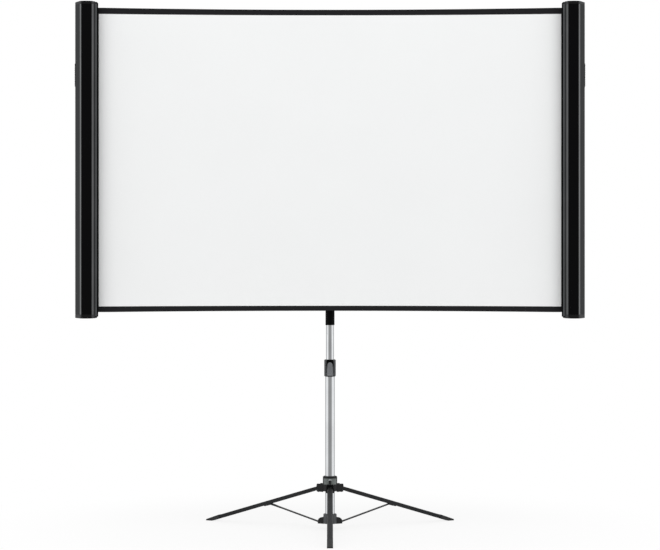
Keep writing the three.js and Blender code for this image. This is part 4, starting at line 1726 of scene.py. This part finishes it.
    def back_boss(self) -> None:
        """The boss on the back that the frame's upper arm runs against."""
        node, name = self.side.of("casing_pivot"), self.side.of("back_boss")
        dressed(node, name, HUB_BLACK, 0.0008, self.body, "black_plastic")

    def roller(self) -> None:
        """The roller with its end pins."""
        low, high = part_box(self.side.of("roller_tube"))
        axis = (low + high) / 2
        pin, radius = self.pin, self.roller_radius
        foot, head = low.z + self.roller_reach, high.z - self.roller_reach
        profile = [
            (0, low.z), (pin, low.z), (pin, foot), (radius, foot),
            (radius, head), (pin, head), (pin, high.z), (0, high.z),
        ]
        outline = filleted(profile, [0, 0.0006, 0, 0.0008, 0.0008, 0, 0.0006, 0], 3)
        name = self.side.of("roller")
        made = to_object(name, turned(outline, 48, (axis.x, axis.y, 0)), [ROLLER_METAL])
        ride(smooth(made, sharp=30), name, "roller_aluminium", self.side.of("roller_tube"))

    def build(self) -> None:
        """Makes every piece of the casing."""
        self.profile()
        self.front_strip()
        for end in End:
            self.end_cap(end)
        self.lip()
        self.shade_strip()
        self.grip()
        self.back_boss()
        self.roller()


@dataclass
class ScissorFrame:
    """The eight flat arms behind the cloth, and the shoes at the casings."""

    tilt: float = math.radians(65.5587)
    edge: float = 0.0005
    shoe_edge: float = 0.0008
    arms: tuple[str, ...] = ("inner_arm_down", "inner_arm_up", "outer_arm_down", "outer_arm_up")

    def coat(self, name: str, tilt: float) -> Finish:
        """The arms' coat, with its draw lines along arms of one tilt."""
        turn = (0.0, tilt, 0.0)
        return CoatedMetal(name, shade(0x2A2C2F), 0.34, metallic=0.6, grain=Grain.X, turn=turn)

    def build(self) -> None:
        """Makes the arms and shoes of both sides."""
        rising = self.coat("arm_coat_rising", self.tilt)
        falling = self.coat("arm_coat_falling", -self.tilt)
        for side in Side:
            for arm in self.arms:
                falls = arm.endswith("down") == (side is Side.RIGHT)
                node = side.of(arm)
                coat = falling if falls else rising
                dressed(node, f"{node}_bar", coat, self.edge, node, "arm_black")
            node = side.of("rear_shoe")
            dressed(node, f"{node}_pad", NYLON_BLACK, self.shoe_edge, node, "nylon")


@dataclass
class Post:
    """The post behind the cloth with its head and the block that slides on it."""

    outer: float = 0.017
    bore: float = 0.0153
    inner: float = 0.0137
    socket: float = 0.0573

    def build(self) -> None:
        """Makes the post, its head and the sliding block."""
        low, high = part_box("support_post")
        step = low.z + self.socket
        profile = [
            (self.bore, low.z), (self.outer, low.z), (self.outer, high.z),
            (self.inner, high.z), (self.inner, step), (self.bore, step),
        ]
        outline = filleted(profile, [0.0006, 0.0016, 0.0008, 0.0004, 0, 0], 4)
        tube = to_object("black_post", turned(outline, 96, (0, POLE_Y, 0)), [POST_BLACK])
        ride(smooth(tube, sharp=30), "support", "post_black", "support_post")
        dressed("post_head", "post_head_block", HUB_BLACK, 0.0012, "support", "black_plastic")
        dressed("post_slider", "post_slider_block", NYLON_BLACK, 0.001, "post_slider", "nylon")


@dataclass
class Pole:
    """The two bright tubes, the clamp between them and its lever."""

    lower_radius: float = 0.018
    upper_radius: float = 0.015
    wall: float = 0.0015
    bush_gap: float = 0.0003
    bush_rise: float = 0.0006
    mouth_half: float = 0.0138
    mouth_height: float = 0.029
    mouth_rise: float = 0.0003
    mouth_ahead: Point = (0.0205, 0.0264)

    def tube(self, node: str, name: str, radius: float, body: str) -> None:
        """One bright tube with rounded ends.

        Args:
            node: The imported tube.
            name: The new piece's name.
            radius: Its outer radius.
            body: The body that it rides on.
        """
        low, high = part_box(node)
        bore = radius - self.wall
        profile = [(bore, low.z), (radius, low.z), (radius, high.z), (bore, high.z)]
        shape = turned(filleted(profile, 0.0005, 3), 128, (0, POLE_Y, 0))
        ride(smooth(to_object(name, shape, [CHROME]), sharp=30), body, "chrome", node)

    def bush(self) -> None:
        """The black ring that shows between the tubes above the clamp."""
        low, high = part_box("clamp_bush")
        near, far = self.upper_radius + self.bush_gap, self.lower_radius
        head = high.z + self.bush_rise
        profile = [(near, low.z), (far, low.z), (far, head), (near, head)]
        shape = turned(filleted(profile, [0, 0, 0.0008, 0.0006], 3), 96, (0, POLE_Y, 0))
        ring = to_object("clamp_inner_bush", shape, [HUB_BLACK])
        ride(smooth(ring, sharp=30), "tripod", "black_plastic", "clamp_bush")

    def ahead(self, x: float, height: float, forward: float) -> Place:
        """A place of a form that is drawn on the clamp's front."""
        return (x, POLE_Y - forward, height)

    def mouth(self) -> None:
        """A black arch on the clamp round the head of its lever: painted shade of the gap there."""
        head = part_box("clamp_collar")[1].z + self.mouth_rise
        foot, half = head - self.mouth_height, self.mouth_half
        arch = [
            (-half + 0.004, foot), (half - 0.004, foot), (half, foot + 0.008), (half, head - 0.001),
            (0, head), (-half, head - 0.001), (-half, foot + 0.008),
        ]
        outline = filleted(arch, [0.001, 0.001, 0.004, 0.011, 0.0, 0.011, 0.004], 8)
        shape = raised(outline, self.mouth_ahead, self.ahead)
        # Painted shade: a black inlay where the gap round the lever's head lies in shadow.
        made = rounded_edges(to_object("clamp_mouth", shape, [BLACK_AND_PAINTED_SHADE]), 0.0004, 2)
        ride(made, "tripod", "black_plastic")

    def build(self) -> None:
        """Makes the tubes, the bushes, the clamp and its lever."""
        self.tube("lower_pole_tube", "lower_bright_tube", self.lower_radius, "tripod")
        self.tube("upper_pole_tube", "upper_bright_tube", self.upper_radius, "mast")
        self.bush()
        dressed("mast_guide_bush", "mast_foot_guide", NYLON_BLACK, 0.0006, "mast", "nylon")
        dressed("clamp_collar", "clamp_body", COLLAR_GREY, 0.0009, "tripod", "leg_grey")
        self.mouth()
        dressed("clamp_lever_pin", "clamp_pin", DARK_STEEL, 0.0004, "tripod", "steel")
        dressed("clamp_lever", "clamp_handle", LEVER_GREY, 0.0012, "clamp_lever", "lever_grey")


@dataclass
class LegHub:
    """The hub that slides on the pole and holds the legs' upper ends."""

    ear_start: float = 0.0478
    ear_share: float = 0.3

    def build(self) -> None:
        """Makes the hub, its cover, hood, button and pins."""
        shorter = drawn_in(self.ear_start, self.ear_share)
        hub = softened("leg_hub", "sliding_hub", HUB_BLACK, 0.001, change=shorter)
        ride(hub, "leg_hub", "black_plastic", "leg_hub")
        dressed("hub_cover", "hub_front_cover", COVER_GREY, 0.0008, "leg_hub", "cover_grey")
        dressed("button_hood", "bright_hood", CHROME, 0.0008, "leg_hub", "chrome")
        node = "leg_lock_button"
        dressed(node, "lock_button", GRIP_BLACK, 0.0009, node, "grip_black")
        for way in Way:
            node, name = way.of("leg_pin"), way.of("leg_axle")
            dressed(node, name, DARK_STEEL, 0.0005, "leg_hub", "steel")


@dataclass
class Tripod:
    """The legs with their feet, the braces and the cup that holds the pole's foot."""

    knee: Point = (0.275961, 0.083549)
    cup: Point = (0.0445, 0.023572)
    pivot: Point = (0.0445, 0.143525)
    slope: float = math.radians(16.9)
    # Height above which a leg is painted black, as painted shade under the hub.
    head: float = 0.130
    leg_runs: Point = (0.03, 0.457)
    leg_middle: float = 0.0091
    leg_half: float = 0.0106
    leg_moves: Point = (0.0005, -0.0014)  # of its upper and its lower face
    leg_spread: float = 0.0006
    leg_faces: Point = (0.004, 0.0092)  # least distances of the faces and sides that move
    sole: float = 0.0045
    foot_half: float = 0.0108
    foot_slimming: float = 0.0008
    foot_start: float = 0.5436
    foot_share: float = 0.45
    eye: Point = (0.0024, 0.0018)
    brace_slimming: float = 0.32
    ear_start: float = 0.0468
    ear_share: float = 0.35
    ear_half: float = 0.0094
    barrel: float = 0.0262
    knee_rivet: Point = (0.0032, 0.0012)
    cup_rivet: Point = (0.0030, 0.0011)

    def heads(self, way: Way, spot: Point, half: float) -> list[tuple[Place, Place]]:
        """Both ends of a rivet that crosses a spoke."""
        ends = ((sign * half, tuple(way.aside * sign)) for sign in (1, -1))
        return [(way.place(spot[0], aside, spot[1]), facing) for aside, facing in ends]

    def leg(self, way: Way) -> None:
        """One leg, a little deeper and wider between the hub and the foot, with its head painted
        black as the hub's shade.

        Args:
            way: Its direction.
        """
        forward, down = math.cos(self.slope), -math.sin(self.slope)
        square = way.out * forward + Vector((0, 0, down))
        cuts = [((0, 0, self.head), (0, 0, 1))]
        for run in self.leg_runs:
            radius, height = self.pivot[0] + run * forward, self.pivot[1] + run * down
            cuts.append((way.place(radius, 0, height), tuple(square)))

        def between(along: float) -> bool:
            """Whether a place along the leg lies between the hub and the foot."""
            return self.leg_runs[0] - NEAR < along < self.leg_runs[1] + NEAR

        def move(along: float, rise: float) -> float:
            """The shift of a place of the channel's upper or lower face.

            Args:
                along: Distance along the leg.
                rise: Distance above the line of its pins.

            Returns:
                The shift.
            """
            side = rise - self.leg_middle
            if not between(along) or abs(side) < self.leg_faces[0]:
                return 0.0
            return self.leg_moves[0] if side > 0 else self.leg_moves[1]

        def spread(along: float, aside: float) -> float:
            """The sideways shift of a place of the channel's sides."""
            moves = between(along) and abs(aside) >= self.leg_faces[1]
            return math.copysign(self.leg_spread, aside) if moves else 0.0

        change = way.across(self.pivot, self.slope, move, spread)
        node = way.of("leg")
        made = softened(node, way.of("channel_leg"), LEG_PAINT, 0.0008, cuts=cuts, change=change)
        # Painted shade: the leg's head in the hub's black, where the hub shades it.
        painted(made, HUB_BLACK, lambda place: place.z > self.head)
        ride(made, node, "leg_grey", node)

    def foot(self, way: Way) -> None:
        """One foot with a black sole, a little slimmer and shorter than its solid.

        Args:
            way: Its direction.
        """

        def spread(along: float, aside: float) -> float:
            """The sideways shift of a place of the foot's sides."""
            moves = abs(aside) > self.foot_half
            return math.copysign(self.foot_slimming, -aside) if moves else 0.0

        slimmed = way.across(self.pivot, self.slope, spread=spread)
        shortened = drawn_in(self.foot_start, self.foot_share)

        def change(place: Vector) -> Vector:
            """Slims and shortens the foot."""
            return shortened(slimmed(place))

        cuts = [((0, 0, self.sole), (0, 0, 1))]
        node, name = way.of("foot"), way.of("leg_end")
        made = softened(node, name, FOOT_PLASTIC, 0.0012, cuts=cuts, change=change)
        painted(made, FOOT_RUBBER, lambda place: place.z < self.sole)
        ride(made, way.of("leg"), "foot_rubber", node)

    def brace(self, way: Way) -> None:
        """One brace, slimmer than its eyes.

        Args:
            way: Its direction.
        """
        reach = Vector(self.knee) - Vector(self.cup)
        radius, margin = self.eye

        def move(along: float, rise: float) -> float:
            """The shift of a place of the long faces towards the middle line.

            Args:
                along: Distance along the brace.
                rise: Distance above its middle line.

            Returns:
                The shift.
            """
            from_eyes = min(math.hypot(along, rise), math.hypot(along - reach.length, rise))
            clear = from_eyes > radius and margin < along < reach.length - margin
            return -self.brace_slimming * rise if clear else 0.0

        change = way.across(self.cup, -math.atan2(reach.y, reach.x), move)
        node = way.of("brace")
        made = softened(node, way.of("thin_brace"), LEG_PAINT, 0.0004, change=change)
        ride(made, node, "leg_grey", node)

    def lower_hub(self) -> None:
        """The cup with its ears, and a grey barrel."""
        shorter = drawn_in(self.ear_start, self.ear_share)
        made = softened("lower_hub", "pole_cup", HUB_BLACK, 0.0008, change=shorter)
        painted(made, COLLAR_GREY, lambda p: math.hypot(p.x, p.y - POLE_Y) < self.barrel)
        ride(made, "tripod", "black_plastic", "lower_hub")

    def build(self) -> None:
        """Makes the cup and, for each spoke, a leg, a foot, a brace and the rivets."""
        self.lower_hub()
        cup_spots = []
        for way in Way:
            self.leg(way)
            self.foot(way)
            self.brace(way)
            spots = self.heads(way, self.knee, self.leg_half)
            name = way.of("knee_rivets")
            rivets = spots_of(name, rivet_head(*self.knee_rivet), spots, DARK_STEEL)
            ride(rivets, way.of("leg"), "steel")
            cup_spots += self.heads(way, self.cup, self.ear_half)
        rivets = spots_of("cup_rivets", rivet_head(*self.cup_rivet), cup_spots, DARK_STEEL)
        ride(rivets, "tripod", "steel")


# --------------------------------------------------------------------------- studio


@dataclass
class Studio:
    """Floor, lamps, surroundings and the camera at the photograph's angle."""

    lens: float = 111.41
    sensor: float = 36.0
    eye: Place = (0.0, -7.5116, 0.950)
    clip_end: float = 200.0
    floor_size: float = 60.0
    floor_colour: tuple[float, ...] = (0.9, 0.9, 0.9, 1.0)
    near: float = 0.3
    far: float = 1.5
    ambient: float = 0.82
    floor_white: float = 0.8
    gloss: float = 1.2
    gloss_stops: tuple[Point, ...] = (
        (0.0, 0.27), (0.05, 0.3), (0.1, 0.41), (0.14, 0.5), (0.2, 0.6), (0.3, 0.9), (0.36, 1.0),
        (0.45, 1.0), (0.6, 0.62), (0.7, 0.46), (0.85, 0.42), (1.0, 0.6),
    )
    lamps: tuple[tuple[str, Place, Place, Point, float], ...] = (
        ("left_soft_box", (-4.2, -4.8, 2.2), (0, 0, 1.1), (4.0, 4.0), 24),
        ("right_soft_box", (4.2, -4.8, 2.2), (0, 0, 1.1), (4.0, 4.0), 24),
        ("top_soft_box", (0, -1.6, 4.6), (0, 0, 1.0), (4.0, 2.0), 25),
    )

    def tones(self, graph: Graph, ahead: Value) -> bpy.types.NodeSocket:
        """The tones that bright metal mirrors, from -1 at the viewer's side to 1 at the back."""
        inputs = {"Fac": ahead * 0.5 + 0.5}
        return graph.node("ShaderNodeValToRGB", {"stops": self.gloss_stops}, inputs).outputs[0]

    def floor(self) -> None:
        """A pale floor that takes the shadow near the object and runs out to white."""
        shape = bmesh.new()
        bmesh.ops.create_grid(shape, x_segments=1, y_segments=1, size=self.floor_size / 2)
        floor = to_object("studio_floor", shape, [])
        material = bpy.data.materials.new("pale_floor")
        graph = Graph(material)
        x, y, _ = graph.axes(graph.place())
        ahead = y - POLE_Y
        distance = (x * x + ahead * ahead).root()
        seen, mirrored = graph.rays("Camera", "Glossy")
        matt = graph.node("ShaderNodeBsdfDiffuse", {}, {"Color": self.floor_colour})
        white = graph.node("ShaderNodeEmission", {}, {"Color": WHITE, "Strength": 1.0})
        inputs = {"Color": self.tones(graph, ahead / distance), "Strength": self.gloss}
        tones = graph.node("ShaderNodeEmission", {}, inputs)
        away = distance.over(self.near, self.far)
        mask = (away * (1 - self.floor_white) + self.floor_white) * seen
        graph.end(graph.mixed(mirrored, graph.mixed(mask, matt, white), tones))
        floor.data.materials.append(material)

    def world(self) -> None:
        """Even surroundings: white behind the object, darker where the viewer stands."""
        world = bpy.data.worlds.new("studio")
        bpy.context.scene.world = world
        graph = Graph(world)
        _, ahead, _ = graph.axes(graph.node("ShaderNodeTexCoord").outputs["Generated"])
        seen, mirrored = graph.rays("Camera", "Glossy")
        shades = []
        for colour, strength in (
            (WHITE, self.ambient), (self.tones(graph, ahead), self.gloss), (WHITE, 1.0)
        ):
            inputs = {"Color": colour, "Strength": strength}
            shades.append(graph.node("ShaderNodeBackground", {}, inputs))
        lit, gloss, view = shades
        graph.end(graph.mixed(seen, graph.mixed(mirrored, lit, gloss), view))

    def lamp(self, name: str, place: Place, aim: Place, size: Point, power: float) -> None:
        """A soft lamp that points at a place.

        Args:
            name: The lamp's name.
            place: Where it stands.
            aim: What it points at.
            size: Width and height.
            power: Watts.
        """
        light = bpy.data.lights.new(name, "AREA")
        light.shape = "RECTANGLE"
        light.size, light.size_y = size
        light.energy = power
        made = linked(name, light)
        made.location = place
        made.visible_glossy = False
        made.rotation_euler = (Vector(aim) - Vector(place)).to_track_quat("-Z", "Y").to_euler()

    def camera(self) -> None:
        """The camera, level and in front of the pole."""
        lens = bpy.data.cameras.new("camera")
        lens.lens = self.lens
        lens.sensor_width = self.sensor
        lens.sensor_fit = "HORIZONTAL"
        lens.clip_end = self.clip_end
        made = linked("camera", lens)
        made.location = self.eye
        made.rotation_euler = (math.pi / 2, 0, 0)
        bpy.context.scene.camera = made

    def build(self) -> None:
        """Sets up the studio."""
        bpy.context.scene.view_settings.view_transform = "Standard"
        self.world()
        self.floor()
        for lamp in self.lamps:
            self.lamp(*lamp)
        self.camera()


def main() -> None:
    """Builds every sub-assembly in order."""
    logging.basicConfig(level=logging.INFO, format="%(name)s: %(message)s")
    assemblies = [
        Studio(),
        Cloth(),
        Casing(Side.RIGHT),
        Casing(Side.LEFT),
        ScissorFrame(),
        Post(),
        Pole(),
        LegHub(),
        Tripod(),
    ]
    for assembly in assemblies:
        LOG.info("building %s", type(assembly).__name__)
        assembly.build()


if __name__ == "__main__":
    main()
